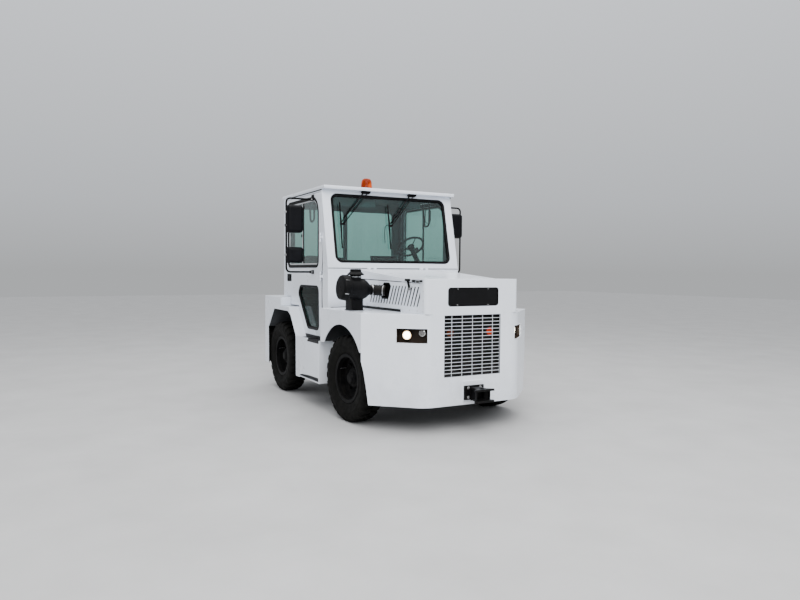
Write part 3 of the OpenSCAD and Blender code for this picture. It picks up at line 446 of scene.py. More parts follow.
class Kit:
    """Gathers meshes for one piece."""

    def __init__(self):
        self.bm = bmesh.new()

    def merge(self, t, mat=0, mtx=None, smooth=True):
        if mtx is not None:
            bmesh.ops.transform(t, matrix=mtx, verts=t.verts)
            if mtx.determinant() < 0:
                bmesh.ops.reverse_faces(t, faces=t.faces)
        for f in t.faces:
            f.material_index = mat
            f.smooth = smooth
        me = bpy.data.meshes.new("part")
        t.to_mesh(me)
        t.free()
        self.bm.from_mesh(me)
        bpy.data.meshes.remove(me)
        return self

    def box(self, x0, x1, y0, y1, z0, z1, r=2.0, seg=2, mat=0, mtx=None):
        t = bmesh.new()
        bmesh.ops.create_cube(t, size=1)
        for v in t.verts:
            v.co = Vector((x0 if v.co.x < 0 else x1, y0 if v.co.y < 0 else y1, z0 if v.co.z < 0 else z1))
        if r:
            r = min(r, 0.45 * min(x1 - x0, y1 - y0, z1 - z0))
            bmesh.ops.bevel(t, geom=list(t.edges), offset=r, segments=seg, affect="EDGES", profile=0.5)
        return self.merge(t, mat, mtx)

    def prism(self, pts, fr, w0, w1, r=0.0, seg=2, mat=0, mtx=None):
        t = bmesh.new()
        lo = [t.verts.new(fr(u, v, w0)) for u, v in pts]
        hi = [t.verts.new(fr(u, v, w1)) for u, v in pts]
        t.faces.new(lo)
        t.faces.new(hi)
        n = len(pts)
        for i in range(n):
            j = (i + 1) % n
            t.faces.new((lo[i], lo[j], hi[j], hi[i]))
        bmesh.ops.recalc_face_normals(t, faces=t.faces)
        if r:
            ed = [e for e in t.edges if len(e.link_faces) == 2 and e.calc_face_angle(0) > 0.6]
            bmesh.ops.bevel(t, geom=ed, offset=r, segments=seg, affect="EDGES", profile=0.5, clamp_overlap=True)
        return self.merge(t, mat, mtx)

    def ring(self, pts, fr, rows, mat=0, n=6, mtx=None):
        """A closed band round an outline; rows are the section's points (outwards from the outline, along the normal)."""
        t = bmesh.new()
        loops = [[t.verts.new(fr(u, v, h)) for u, v in rounded(grow(pts, d), n)] for d, h in rows]
        c = len(loops[0])
        for a in range(len(loops)):
            p, q = loops[a], loops[(a + 1) % len(loops)]
            for i in range(c):
                j = (i + 1) % c
                t.faces.new((p[i], p[j], q[j], q[i]))
        bmesh.ops.recalc_face_normals(t, faces=t.faces)
        return self.merge(t, mat, mtx)

    def lathe(self, prof, o, ax, n=48, mat=0, close=False, mtx=None, smooth=True, phase=0.0):
        """Surface of revolution; prof rows are (radius, distance along the axis)."""
        t = bmesh.new()
        ax = Vector(ax).normalized()
        a = ax.orthogonal().normalized()
        b = ax.cross(a)
        rows = []
        for r, h in prof:
            c = Vector(o) + ax * h
            if r < 1e-6:
                rows.append([t.verts.new(c)])
            else:
                rows.append([t.verts.new(c + (a * math.cos(2 * math.pi * i / n + phase) + b * math.sin(2 * math.pi * i / n + phase)) * r) for i in range(n)])
        pairs = list(zip(rows, rows[1:]))
        if close:
            pairs.append((rows[-1], rows[0]))
        for p, q in pairs:
            for i in range(n):
                j = (i + 1) % n
                if len(p) == 1 and len(q) == 1:
                    continue
                if len(p) == 1:
                    t.faces.new((p[0], q[i], q[j]))
                elif len(q) == 1:
                    t.faces.new((p[i], p[j], q[0]))
                else:
                    t.faces.new((p[i], p[j], q[j], q[i]))
        if not close:
            for row in (rows[0], rows[-1]):
                if len(row) > 1:
                    t.faces.new(row)
        bmesh.ops.recalc_face_normals(t, faces=t.faces)
        return self.merge(t, mat, mtx, smooth)

    def tube(self, path, r, n=10, mat=0, closed=False, mtx=None, flat=1.0):
        """A round bar along a path; r is a number or one per point."""
        pts = [Vector(p) for p in path]
        m = len(pts)
        rs = r if isinstance(r, (list, tuple)) else [r] * m
        t = bmesh.new()
        rings = []
        nrm = None
        for i in range(m):
            if closed:
                tan = (pts[(i + 1) % m] - pts[i - 1]).normalized()
            else:
                tan = (pts[min(i + 1, m - 1)] - pts[max(i - 1, 0)]).normalized()
            if nrm is None:
                nrm = tan.orthogonal().normalized()
            nrm = (nrm - tan * nrm.dot(tan)).normalized()
            bi = tan.cross(nrm)
            rings.append([t.verts.new(pts[i] + (nrm * math.cos(2 * math.pi * k / n) + bi * math.sin(2 * math.pi * k / n) * flat) * rs[i]) for k in range(n)])
        prs = list(zip(rings, rings[1:]))
        if closed:
            prs.append((rings[-1], rings[0]))
        for p, q in prs:
            for k in range(n):
                j = (k + 1) % n
                t.faces.new((p[k], p[j], q[j], q[k]))
        if not closed:
            t.faces.new(rings[0])
            t.faces.new(rings[-1])
        bmesh.ops.recalc_face_normals(t, faces=t.faces)
        return self.merge(t, mat, mtx)

    def bolt(self, p, d, s=13.0, h=6.0, mat=0, mtx=None, washer=True):
        """A hexagon head with a washer, standing on a face at p that looks along d."""
        R = s / math.sqrt(3)
        w = 1.6 if washer else 0.0
        if washer:
            self.lathe([(0, 0), (R * 1.28, 0), (R * 1.28, w * 0.7), (R * 1.2, w), (0, w)], p, d, 20, mat, mtx=mtx)
        self.lathe([(R, w - 0.2), (R, w + h * 0.8), (R * 0.86, w + h), (0, w + h)], p, d, 6, mat, mtx=mtx, smooth=False, phase=0.3)
        return self

    def screw(self, p, d, r=6.0, h=2.4, mat=0, mtx=None):
        """A low round head."""
        return self.lathe([(r, -0.5), (r, h * 0.35), (r * 0.82, h * 0.8), (r * 0.45, h), (0, h)], p, d, 16, mat, mtx=mtx)

    def mirror(self):
        """Adds the same pieces on the other side of the vehicle."""
        me = bpy.data.meshes.new("part")
        self.bm.to_mesh(me)
        t = bmesh.new()
        t.from_mesh(me)
        bmesh.ops.transform(t, matrix=Matrix.Scale(-1, 4, (0, 1, 0)), verts=t.verts)
        bmesh.ops.reverse_faces(t, faces=t.faces)
        t.to_mesh(me)
        t.free()
        self.bm.from_mesh(me)
        bpy.data.meshes.remove(me)
        return self

    def done(self, name, mats, body="vehicle", replaces=(), sharp=35, weighted=True, flip=False):
        bm = self.bm
        if flip:
            bmesh.ops.transform(bm, matrix=Matrix.Scale(-1, 4, (0, 1, 0)), verts=bm.verts)
            bmesh.ops.reverse_faces(bm, faces=bm.faces)
        bmesh.ops.scale(bm, vec=(0.001, 0.001, 0.001), verts=bm.verts)
        me = bpy.data.meshes.new(name)
        bm.to_mesh(me)
        bm.free()
        for m in (mats if isinstance(mats, (list, tuple)) else [mats]):
            me.materials.append(m)
        me.set_sharp_from_angle(angle=math.radians(sharp))
        ob = bpy.data.objects.new(name, me)
        bpy.context.scene.collection.objects.link(ob)
        if weighted:
            w = ob.modifiers.new("normals", "WEIGHTED_NORMAL")
            w.keep_sharp = True
            WEIGHTED.append(ob)
        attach(ob, body)
        if replaces:
            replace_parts(ob, *replaces)
        return ob


WEIGHTED = []


def soften(name, cad, mats, pick, body="vehicle", width=2.5, seg=2, limit=32, extra=None):
    """A copy of CAD nodes with rounded edges, and a finish for each face by place and direction."""
    k = Kit()
    for n in cad:
        t = bmesh.new()
        t.from_mesh(nodes[n].data)
        bmesh.ops.transform(t, matrix=nodes[n].matrix_world, verts=t.verts)
        bmesh.ops.scale(t, vec=(1000, 1000, 1000), verts=t.verts)
        bmesh.ops.remove_doubles(t, verts=t.verts, dist=0.01)
        bmesh.ops.dissolve_limit(t, angle_limit=math.radians(0.6), verts=t.verts, edges=t.edges)
        lo = [min(v.co[i] for v in t.verts) for i in range(3)]
        hi = [max(v.co[i] for v in t.verts) for i in range(3)]
        ed = [e for e in t.edges if len(e.link_faces) == 2 and e.calc_face_angle(0) > math.radians(limit) and e.calc_length() > width * 1.2]
        if ed and width > 0:
            bmesh.ops.bevel(t, geom=ed, offset=width, segments=seg, affect="EDGES", profile=0.5, clamp_overlap=False)
        for v in t.verts:
            v.co = Vector([min(max(v.co[i], lo[i]), hi[i]) for i in range(3)])
        k.merge(t)
    k.bm.normal_update()
    if len(mats) > 1:
        for f in k.bm.faces:
            f.material_index = pick(f.calc_center_median(), f.normal)
    if extra:
        extra(k)
    return k.done(name, mats, body, cad, sharp=38)


def outward(c, n, cx=0.0):
    """How far a face looks away from the vehicle's middle, in plan."""
    d = Vector((c.x - cx, c.y))
    if d.length < 1:
        return 1.0
    d.normalize()
    return n.x * d.x + n.y * d.y


BLACK = [M["trim_black"]]
WHITE = M["body_white"]

# ------------------------------------------------------------------ front body
soften("front_body", ["front_shell"], [WHITE, undercoat],
       lambda c, n: 1 if n.z < -0.5 and c.z > 300 or outward(c, n, 1300) < -0.3 else 0, width=3.0)


def fender_pick(c, n):
    # faces inside the wheel house get the grey of painted shade
    if abs(c.y) < 514:
        return 1
    if n.y * (1 if c.y > 0 else -1) < -0.5:
        return 1
    if n.z < -0.5 and c.z > 1200:
        return 1
    if c.x < 305 and abs(n.x) > 0.5 and abs(c.y) < 1087:
        return 1
    return 0


soften("front_fender_panels", ["front_fenders"], [WHITE, painted_shade_grey], fender_pick, width=2.5)


def hood_pick(c, n):
    s = 1 if c.y > 0 else -1
    # inner walls of the louvre slots are black: painted shade inside the slots
    if 588 < abs(c.y) < 599 and abs(n.y) < 0.3 and 600 < c.x < 1806 and 1320 < c.z < 1580:
        return 1
    if n.y * s < -0.5 and abs(c.y) > 560:
        return 1
    if n.z < -0.5:
        return 1
    return 0


def louvre_lips(k):
    """Pressed lips over the rear half of each louvre slot."""
    for s in (-1, 1):
        fr = side_frame(s, 600)
        for i in range(17):
            x = 643 + i * 69.5
            z0, z1 = 1341 - i * 0.5, 1551 - i * 0.5
            if s < 0 and 905 < x + 48 < 1190:
                # under the hose the slots stop below its hole
                z1 = 1392
            t = bmesh.new()
            f = (z1 - z0) / 210.0
            sec = [(-15, 0.2), (-13, 2.2), (-9, 3.8), (-5, 4.2), (-4.4, 3.2), (-8, 2.6), (-11.5, 1.4), (-13, 0.2)]
            ends = [(0.0, 0.25), (0.05, 1.0), (0.95, 1.0), (1.0, 0.25)]
            loops = []
            for e, hs in ends:
                z = z0 + 5 + (z1 - z0 - 10) * e
                xx = x + 96 * f * (z - z0) / (z1 - z0)
                loops.append([t.verts.new(fr(xx + u, z, 0.2 + h * hs)) for u, h in sec])
            for p, q in zip(loops, loops[1:]):
                for a in range(len(sec)):
                    b = (a + 1) % len(sec)
                    t.faces.new((p[a], p[b], q[b], q[a]))
            t.faces.new(loops[0])
            t.faces.new(loops[-1])
            bmesh.ops.recalc_face_normals(t, faces=t.faces)
            k.merge(t, 0)


soften("hood_side_panels", ["hood_sides"], [WHITE, undercoat], hood_pick, width=1.6, extra=louvre_lips)
soften("hood_lid_panel", ["hood_lid"], [WHITE, undercoat], hood_pick, body="hood", width=3.0)
# sides and backs of the grille bars inside the opening get the black finish: painted shade between the bars
soften("grille_bars", ["grille"], [WHITE, undercoat], lambda c, n: 1 if n.x < 0.3 and abs(c.y) < 360.5 and 593 < c.z < 1244 else 0, width=0.8)
# black shroud between the grille and the radiator, with a pressed rib round it
k = Kit()
k.box(1858.6, 1861.4, -372, 372, 584, 1252, 1)
k.ring(rect(-366, 366, 590, 1246, 10), x_frame(1861), [(4, 0), (4, 6), (0, 8), (-4, 6), (-4, 0)], n=4)
for i in range(15):
    k.box(1861, 1863.5, -330 + i * 47, -326 + i * 47, 600, 1236, 1)
# baffles behind the louvres
for s in (-1, 1):
    k.box(612, 1806, min(s * 556, s * 562), max(s * 556, s * 562), 1322, 1566, 1.5)
    # and beside the shroud, so the wheel houses do not show through the grille
    k.box(1840, 1846, min(s * 362, s * 520), max(s * 362, s * 520), 600, 1285, 1.5)
    for z in (1330, 1556):
        k.box(620, 1800, min(s * 560, s * 568), max(s * 560, s * 568), z - 4, z + 4, 2)
k.done("radiator_shroud", [undercoat])
soften("front_plate_panel", ["front_plate"], [gloss_black], lambda c, n: 0, width=1.5)

k = Kit()
for u, v in ((-192, 1351), (203, 1351), (-188, 1526), (203, 1526)):
    k.screw((1909, u, v), (1, 0, 0), 7.5, 3)
k.done("front_plate_screws", [zinc])

k = Kit()
k.ring(rect(-322, 332, 1338, 1539, 34), x_frame(1909), [(1, -1), (1, 3), (-2, 5), (-9, 5), (-11, 3), (-11, -1)], n=8)
k.done("front_plate_edge", [M["trim_black"]])

# hood latches: a rubber T-latch and a small toggle near the front corner on each side
k = Kit()
fr = side_frame(-1, 600)
k.box(1520, 1617, -624, -604, 1603, 1629, 7, 3)
k.prism(rounded([(1555, 1606, 2), (1586, 1606, 2), (1614, 1534, 6), (1607, 1520, 10), (1590, 1524, 6)], 3), fr, 4, 16, 4, 2)
k.box(1578, 1630, -620, -600, 1504, 1534, 5, 2, mat=1)
k.screw((1604, -620, 1519), (0, -1, 0), 6, 4, mat=1)
k.box(1663, 1872, -616, -602, 1600, 1613, 4, 2)
k.box(1668, 1720, -621, -602, 1594, 1618, 5, 2)
k.box(1838, 1872, -620, -602, 1596, 1616, 4, 2)
k.box(1742, 1790, -606, -600, 1588, 1602, 2, 2, mat=1)
k.mirror()
k.done("hood_latches", [M["trim_black"], zinc])

# screws along the hood's edges and on the deck
k = Kit()
for s in (-1, 1):
    for x in (260, 560, 860, 1160, 1395, 1600, 1760):
        k.screw((x, s * 600, 1292), (0, s, 0), 6, 2.5)
    for x, y in ((1260, 650), (1320, 690), (1380, 730), (420, 1040), (760, 1040), (1100, 1040)):
        k.screw((x, s * y, 1261), (0, 0, 1), 6, 2.5)
    for z in (1290, 1400, 1500):
        k.screw((1880, s * 600, z), (0, s, 0), 5, 2.5)
k.done("body_screws", [zinc])

def lid_edge(x):
    return 1619 - 0.02 * (x - 215)


# rubber edge round the hose opening, and a black strip under the hood sides for the gap there and the painted shadow
# below them
k = Kit()
hose_hole = [(922, 1400, 30), (1100, 1400, 40), (1168, 1572, 40), (990, 1572, 30)]
k.ring(hose_hole, side_frame(-1, 600), [(8, 0.5), (6, 4.5), (0, 5.5), (-5, 3), (-6, -6), (-4, -13), (7, -13), (8, -10.5), (1, -10), (1, 0.5)], n=6)
k.done("hose_opening_edge", BLACK)
k = Kit()
for s in (-1, 1):
    # black strip along the hood sides' lower edge: the gap, and painted shadow on the deck
    k.box(198, 1396, min(s * 590, s * 605), max(s * 590, s * 605), 1261.5, 1291, 3)
    # dark joint between the side panel and the lid
    for x0, x1 in ((218, 620), (620, 1010), (1010, 1396)):
        z0, z1 = lid_edge(x0), lid_edge(x1)
        k.prism([(x0, z0 - 7.5), (x1, z1 - 7.5), (x1, z1 - 0.6), (x0, z0 - 0.6)], side_frame(s, 600), -12, 0.8)
# dark strip where the hood's rear meets the cab front: painted shadow of the gap there
k.box(174.6, 177, -952, 952, 1739, 1747, 1)
k.done("hood_gaps_and_shadow_strips", BLACK)


# ------------------------------------------------------------------ lamps
def bend_w(u):
    """How far the corner panel's rounded fold lies behind its flat part, at distance u along it."""
    return 0.0 if u < -100.2 else math.sqrt(250.0 ** 2 - (u + 100.2) ** 2) - 250.0


def round_lamp(k, y, z, r, x, depth, lit, mtx=None, ax=(1, 0, 0)):
    """A round lamp: black shell, bright reflector, bezel and lens. Finishes: 0 shell, 1 reflector, 3 lit core, 4 lit
    bowl, 5 dull lens; 2 (glass) is not used.
    """
    o = (x, y, z)
    k.lathe([(r * 0.45, -depth), (r * 0.9, -depth * 0.45), (r, -8), (r, 6), (r * 0.97, 9), (r * 0.90, 9), (r * 0.885, 4), (r * 0.86, -6),
             (r * 0.42, -depth + 4), (0, -depth + 3)], o, ax, 48, 0, mtx=mtx)
    k.lathe([(r * 0.875, 1.5), (r * 0.80, -4), (r * 0.55, -depth * 0.55), (r * 0.22, -depth * 0.78), (0, -depth * 0.80)], o, ax, 48, 4 if lit else 1, mtx=mtx)
    k.lathe([(r * 0.13, -depth * 0.7), (r * 0.15, -depth * 0.35), (r * 0.09, -depth * 0.22), (0, -depth * 0.2)], o, ax, 20, 3 if lit else 1, mtx=mtx)
    if lit:
        # a lit lamp shows a hot face with a warmer rim
        k.lathe([(0, 8.5), (r * 0.45, 7.6), (r * 0.75, 5.6), (r * 0.75, 1.0), (0, 1.0)], o, ax, 48, 3, mtx=mtx)
        k.lathe([(r * 0.75, 5.6), (r * 0.89, 3.0), (r * 0.89, 1.0), (r * 0.75, 1.0)], o, ax, 48, 4, close=True, mtx=mtx)
    else:
        # fluted dull lens over the bright bowl, with a bright rim
        k.lathe([(0, 8.5), (r * 0.45, 7.6), (r * 0.70, 6.0), (r * 0.70, 1.0), (0, 1.0)], o, ax, 48, 5, mtx=mtx)
        k.lathe([(r * 0.70, 6.0), (r * 0.885, 3.0), (r * 0.885, 1.0), (r * 0.70, 1.0)], o, ax, 48, 1, close=True, mtx=mtx)
        for i in range(-4, 5):
            h = math.sqrt(max(0.0, (r * 0.64) ** 2 - (i * r * 0.14) ** 2))
            k.box(x + 6.5, x + 9.0, y + i * r * 0.14 - 0.9, y + i * r * 0.14 + 0.9, z - h, z + h, 0.5, mat=1, mtx=mtx)
    return k


for s, word in ((-1, "right"), (1, "left")):
    cm = corner_matrix(s)
    k = Kit()
    # shell of the lamp box behind the corner panel
    for b in ((-120, -112, -329, 22, 952, 1122), (-113, -13, -329, -320, 952, 1122), (-113, -48, 13, 22, 952, 1122)):
        k.box(*b, r=1.5, mtx=cm)
    # floor and roof of the box follow the fold of the panel
    plan = [(-113, -321), (-13, -321)] + [(bend_w(u) - 13, u) for u in (-100, -80, -60, -40, -20, 0, 14)] + [(-113, 14)]
    for z0, z1 in ((952, 960), (1114, 1122)):
        k.prism(plan, lambda u, v, w: Vector((u, v, w)), z0, z1, mtx=cm)
    k.done("corner_lamp_box_" + word, [lamp_bay], replaces=("lamps",) if s < 0 else ())
    k = Kit()
    round_lamp(k, -219, 1039, 52, -64, 46, True, cm)
    round_lamp(k, -56, 1064, 42, -66, 40, False, cm)
    k.box(-112, -98, -229, -209, 966, 992, 3, mtx=cm)
    k.done("corner_lamps_" + word, [M["lamp_housing"], chrome, clear_lens, lamp_hot, lamp_warm, lamp_dull])
    # thin frame round the opening
    k = Kit()
    fr = (lambda m: (lambda u, v, w: m @ Vector((w + bend_w(u), u, v))))(cm)
    us = (-200, -100, -75, -50, -25, -8)
    edge = [(-321, 959, 3)] + [(u, 959, 0) for u in us] + [(14, 959, 3), (14, 1115, 3)] + [(u, 1115, 0) for u in reversed(us)] + [(-321, 1115, 3)]
    k.ring(edge, fr, [(4, -0.5), (4, 2.0), (0, 3.0), (-3, 2), (-3, -13), (1, -13), (1, -0.5)], n=3)
    k.done("corner_lamp_frame_" + word, [WHITE])

for y, mat, word in ((-258, marker_dim, "right"), (258, marker_lit, "left")):
    k = Kit()
    k.lathe([(48, 0), (48, 7), (45, 9), (43, 9)], (1862, y, 1056), (1, 0, 0), 40, 0)
    k.lathe([(45, 6), (44, 10), (36, 14), (20, 16.0), (0, 16.5)], (1862, y, 1056), (1, 0, 0), 40, 1)
    k.box(1856, 1864, y - 20, y + 20, 1000, 1030, 2)
    k.done("grille_marker_lamp_" + word, [M["lamp_housing"], mat])

for s, word in ((-1, "right"), (1, "left")):
    k = Kit()
    y0, y1 = sorted((s * 800, s * 1020))
    k.box(-1949, -1929, y0, y1, 1120, 1210, 6, 3)
    for i, m in enumerate((1, 2, 3)):
        a = y0 + 6 + i * 70.5
        k.box(-1960, -1944, a, a + 67, 1126, 1204, 7, 3, mat=m if s > 0 else 4 - m)
    for y in (y0 + 10, y1 - 10):
        k.screw((-1960.5, y, 1165), (-1, 0, 0), 4, 1.5)
    k.done("tail_lamp_" + word, [M["lamp_housing"], white_lens, red, amber])
    k = Kit()
    k.lathe([(0, 0), (30, 0), (30, 4), (26, 6)], (-1930, s * 930, 1060), (-1, 0, 0), 32, 0)
    k.lathe([(27, 4), (27, 7), (20, 9), (0, 9.5)], (-1930, s * 930, 1060), (-1, 0, 0), 32, 1)
    k.done("rear_reflector_" + word, [M["trim_black"], red])

# ------------------------------------------------------------------ couplings
for x0, d, word in ((1925, 1, "front"), (-1930, -1, "rear")):
    def fit(k, x0=x0, d=d):
        for y in (-76, 76):
            for z in (370, 469):
                k.bolt((x0 + d * 34, y, z), (d, 0, 0), 24, 10, mat=1)
        for z in (337, 359, 455, 477):
            k.lathe([(21, 0), (31, 0), (31, 3), (28, 4), (21, 4)], (x0 + d * 170, 0, z), (0, 0, 1 if z in (359, 477) else -1), 32, 0, close=True)
        # weld beads where the plates meet the backing plate
        for z in (337, 477):
            k.tube([(x0 + d * 36, y, z + (3 if z == 477 else -3)) for y in range(-48, 49, 8)], [4 + 0.6 * (i % 2) for i in range(13)], 8)
    soften(word + "_coupling_jaw", [word + "_coupling"], [M["coupling_black"], zinc], lambda c, n: 0, width=3.0, extra=fit)

# ------------------------------------------------------------------ cab
soften("cab_front_panel", ["cab_front"], [WHITE, lining, undercoat],
       lambda c, n: (2 if c.z < 1262 else 1) if n.x < -0.5 else 0, width=2.5)
soften("cab_frame_panels", ["cab_frame"], [WHITE, lining],
       lambda c, n: 1 if (abs(c.y) < 916 and (n.x > 0.5 or n.y * (1 if c.y > 0 else -1) < -0.5)) or (abs(c.y) < 914 and c.x > -200) else 0, width=2.5)
soften("cab_roof_panel", ["cab_roof"], [WHITE, lining],
       lambda c, n: 1 if n.z < -0.9 and abs(c.y) < 900 and -1440 < c.x < 0 and False else 0, width=6.0, seg=3)

# skin over the two sheets that meet on the left pillar
k = Kit()
t = SL / CL
k.prism([(6, 905), (171, 905), (171, 1745), (171 - t * 720, 2465), (6, 2465)], side_frame(1, 955), 0.15, 1.0, 0)
k.done("pillar_skin_left", [WHITE])

# windscreen and rear window seals
GASKET = [(15, 0.3), (14, 4.5), (8, 7.5), (-2, 7), (-9, 2), (-13, -8), (-14, -17.5), (2, -17.5), (2, -1)]
INNER = [(14, -40.3), (13, -44), (4, -46), (-8, -42), (-12, -30), (-13, -24.5), (2, -24.5), (2, -39)]
k = Kit()
win = rect(-825, 825, (1830 - 1745) / CL, (2670 - 1745) / CL, 75)
k.ring(win, screen_frame, [(d * 1.35, h) for d, h in GASKET], n=12)
k.ring(win, screen_frame, INNER, mat=1, n=12)
k.done("windscreen_seal", BLACK + [lining])
k = Kit()
for s in (-1, 1):
    w = rect(min(s * 18, s * 806), max(s * 18, s * 806), 1620, 2618, 60)
    k.ring(w, x_frame(-1485, -1), [(d, h if h > -10 else h * 0.68) for d, h in GASKET], n=10)
    k.ring(w, x_frame(-1485, -1), INNER, mat=1, n=10)
k.done("rear_window_seals", BLACK + [lining])

# roof trim: drip rail, ceiling liner with a lamp, screws on the roof's front edge
k = Kit()
for s in (-1, 1):
    k.box(-1530, 55, min(s * 958, s * 949), max(s * 958, s * 949), 2736, 2747, 2)
k.box(45, 56, -950, 950, 2736, 2747, 2)
k.done("roof_drip_rail", [WHITE])
k = Kit()
# dark strip under the roof's side overhang: the gap there, and painted shadow beneath the roof's edge
for s in (-1, 1):
    k.box(-1380, -25, *sorted((s * 955.3, s * 958.5)), 2719, 2733, 1)
k.done("roof_side_shadow_strip", [painted_shade_grey])
# rounded side rest beside the passenger seat
k = Kit()
k.prism(rounded([(-960, 1720, 30), (-500, 1720, 30), (-500, 1885, 30), (-560, 1905, 60), (-730, 1916, 200), (-900, 1905, 60), (-960, 1870, 30)], 6),
        side_frame(-1, 770), 0, 112, 14, 3)
k.done("side_rest", [M["trim_plastic"]])
k = Kit()
k.prism(rounded([(-1430, -900, 30), (-150, -900, 30), (-150, 900, 30), (-1430, 900, 30)], 4), z_frame(2718), 0, 25, 6)
k.box(-760, -620, -60, 60, 2702, 2722, 8, mat=1)
k.done("cab_ceiling_liner", [lining, white_lens])
k = Kit()
for x, y in ((60, -120), (60, 20), (60, -740), (60, 740)):
    k.screw((60 - 12, y, 2740), (0, 0, -1), 6, 5)
k.done("roof_edge_screws", [M["trim_black"]])

# hanging grab loop and sun visors behind the windscreen
k = Kit()
loop = rounded(rect(578, 662, 2370, 2560, 40), 6)
k.tube([Vector((-70 - (2560 - v) * 0.05, u, v)) for u, v in loop], 5.5, 8, closed=True)
k.tube([(-70, 620, 2560), (-66, 620, 2640), (-66, 620, 2690)], 5, 8)
k.done("hanging_loop", [M["trim_plastic"]])
k = Kit()
k.prism(rounded(rect(-760, -160, 2540, 2680, 20), 3), lambda u, v, w: Vector((-118 - w, u, v)), 0, 14, 4)
k.prism(rounded(rect(180, 520, 2560, 2680, 20), 3), lambda u, v, w: Vector((-118 - w, u, v)), 0, 14, 4)
k.done("sun_visors", [lining])

# wipers, in the windscreen panel's slope
k = Kit()
for wy, by in ((-350, -737), (334, -52)):
    k.prism(rounded([(wy - 65, 1011, 5), (wy + 65, 1011, 5), (wy + 52, 981, 12), (wy - 52, 981, 12)], 3), screen_frame, 1, 46, 7, 3)
    k.lathe([(0, 0), (17, 0), (17, 9), (12, 13), (0, 14)], screen_frame(wy, 992, 44), screen_frame(0, 0, 1) - screen_frame(0, 0, 0), 24, 0)
    tip = by + 6
    # thick sprung arm and a thin guide rod
    a0, a1 = Vector((wy - 30, 1000)), Vector((tip - 17, 566))
    path = [screen_frame(*(a0.lerp(a1, t)), h) for t, h in ((0, 32), (0.12, 36), (0.5, 36), (0.52, 33), (1, 26))]
    k.tube(path, [10, 10, 9.5, 8, 7], 10, flat=0.8)
    a0, a1 = Vector((wy + 30, 1000)), Vector((tip + 25, 562))
    path = [screen_frame(*(a0.lerp(a1, t)), h) for t, h in ((0, 32), (0.5, 32), (1, 26))]
    k.tube(path, 6.5, 8, mat=1)
    k.prism(rounded([(by - 20, 546, 6), (by + 42, 546, 6), (by + 42, 576, 6), (by - 20, 576, 6)], 3), screen_frame, 22, 38, 4)
    # blade: rubber, carrier and two levels of yokes
    tl = math.radians(-1.5)

    def bl(l, w=0.0, h=0.0, by=by, tl=tl):
        return screen_frame(by + w - (l - 560) * math.sin(tl), 560 + (l - 560) * math.cos(tl), h)
    k.prism([(-5, 252), (5, 252), (5, 848), (-5, 848)], lambda u, v, w: bl(v, u, w), 3.5, 12, 0)
    k.prism(rounded([(-9, 250, 3), (9, 250, 3), (9, 850, 3), (-9, 850, 3)], 3), lambda u, v, w: bl(v, u, w), 11, 15, 1)
    k.tube([bl(l, 0, h) for l, h in ((385, 18), (430, 24), (520, 28), (600, 28), (690, 24), (735, 18))], [5, 6.5, 8, 8, 6.5, 5], 8, flat=0.8)
    for c in (340, 780):
        k.tube([bl(l, 0, h) for l, h in ((c - 70, 15), (c - 35, 19), (c, 21), (c + 35, 19), (c + 70, 15))], [4, 5, 6, 5, 4], 8, flat=0.8)
# washer hose down the glass
k.tube([screen_frame(u, l, h) for u, l, h in ((-66, 575, 30), (-96, 566, 16), (-114, 540, 9), (-124, 480, 8), (-130, 410, 8), (-134, 336, 9))], 4.2, 8)
k.done("twin_wipers", [M["trim_black"], M["trim_black"]], replaces=("wipers",))

# beacon
k = Kit()
bx = -729
k.lathe([(0, 0), (84, 0), (84, 12), (78, 20), (74, 24), (74, 44), (80, 50), (80, 58), (60, 60)], (bx, 0, 2776), (0, 0, 1), 56, 0)
k.lathe([(79, 56), (80, 60), (80, 66), (78, 70), (78, 86), (79.5, 90), (78, 94), (78, 112), (79, 116), (77.5, 120), (77, 138), (76, 142), (75, 160), (74, 176),
         (68, 204), (56, 224), (38, 234.5), (18, 237), (0, 237)], (bx, 0, 2776), (0, 0, 1), 56, 1)
k.lathe([(30, 60), (30, 70), (12, 74), (12, 120), (16, 128), (16, 150), (8, 160), (0, 160)], (bx, 0, 2776), (0, 0, 1), 24, 2)
for a in range(3):
    t = a * 2.0944 + 0.4
    k.bolt((bx + 79 * math.cos(t), 79 * math.sin(t), 2788), (0, 0, 1), 8, 4, mat=2)
k.done("beacon_lamp", [M["trim_black"], M["beacon_amber"], steel], replaces=("beacon",))

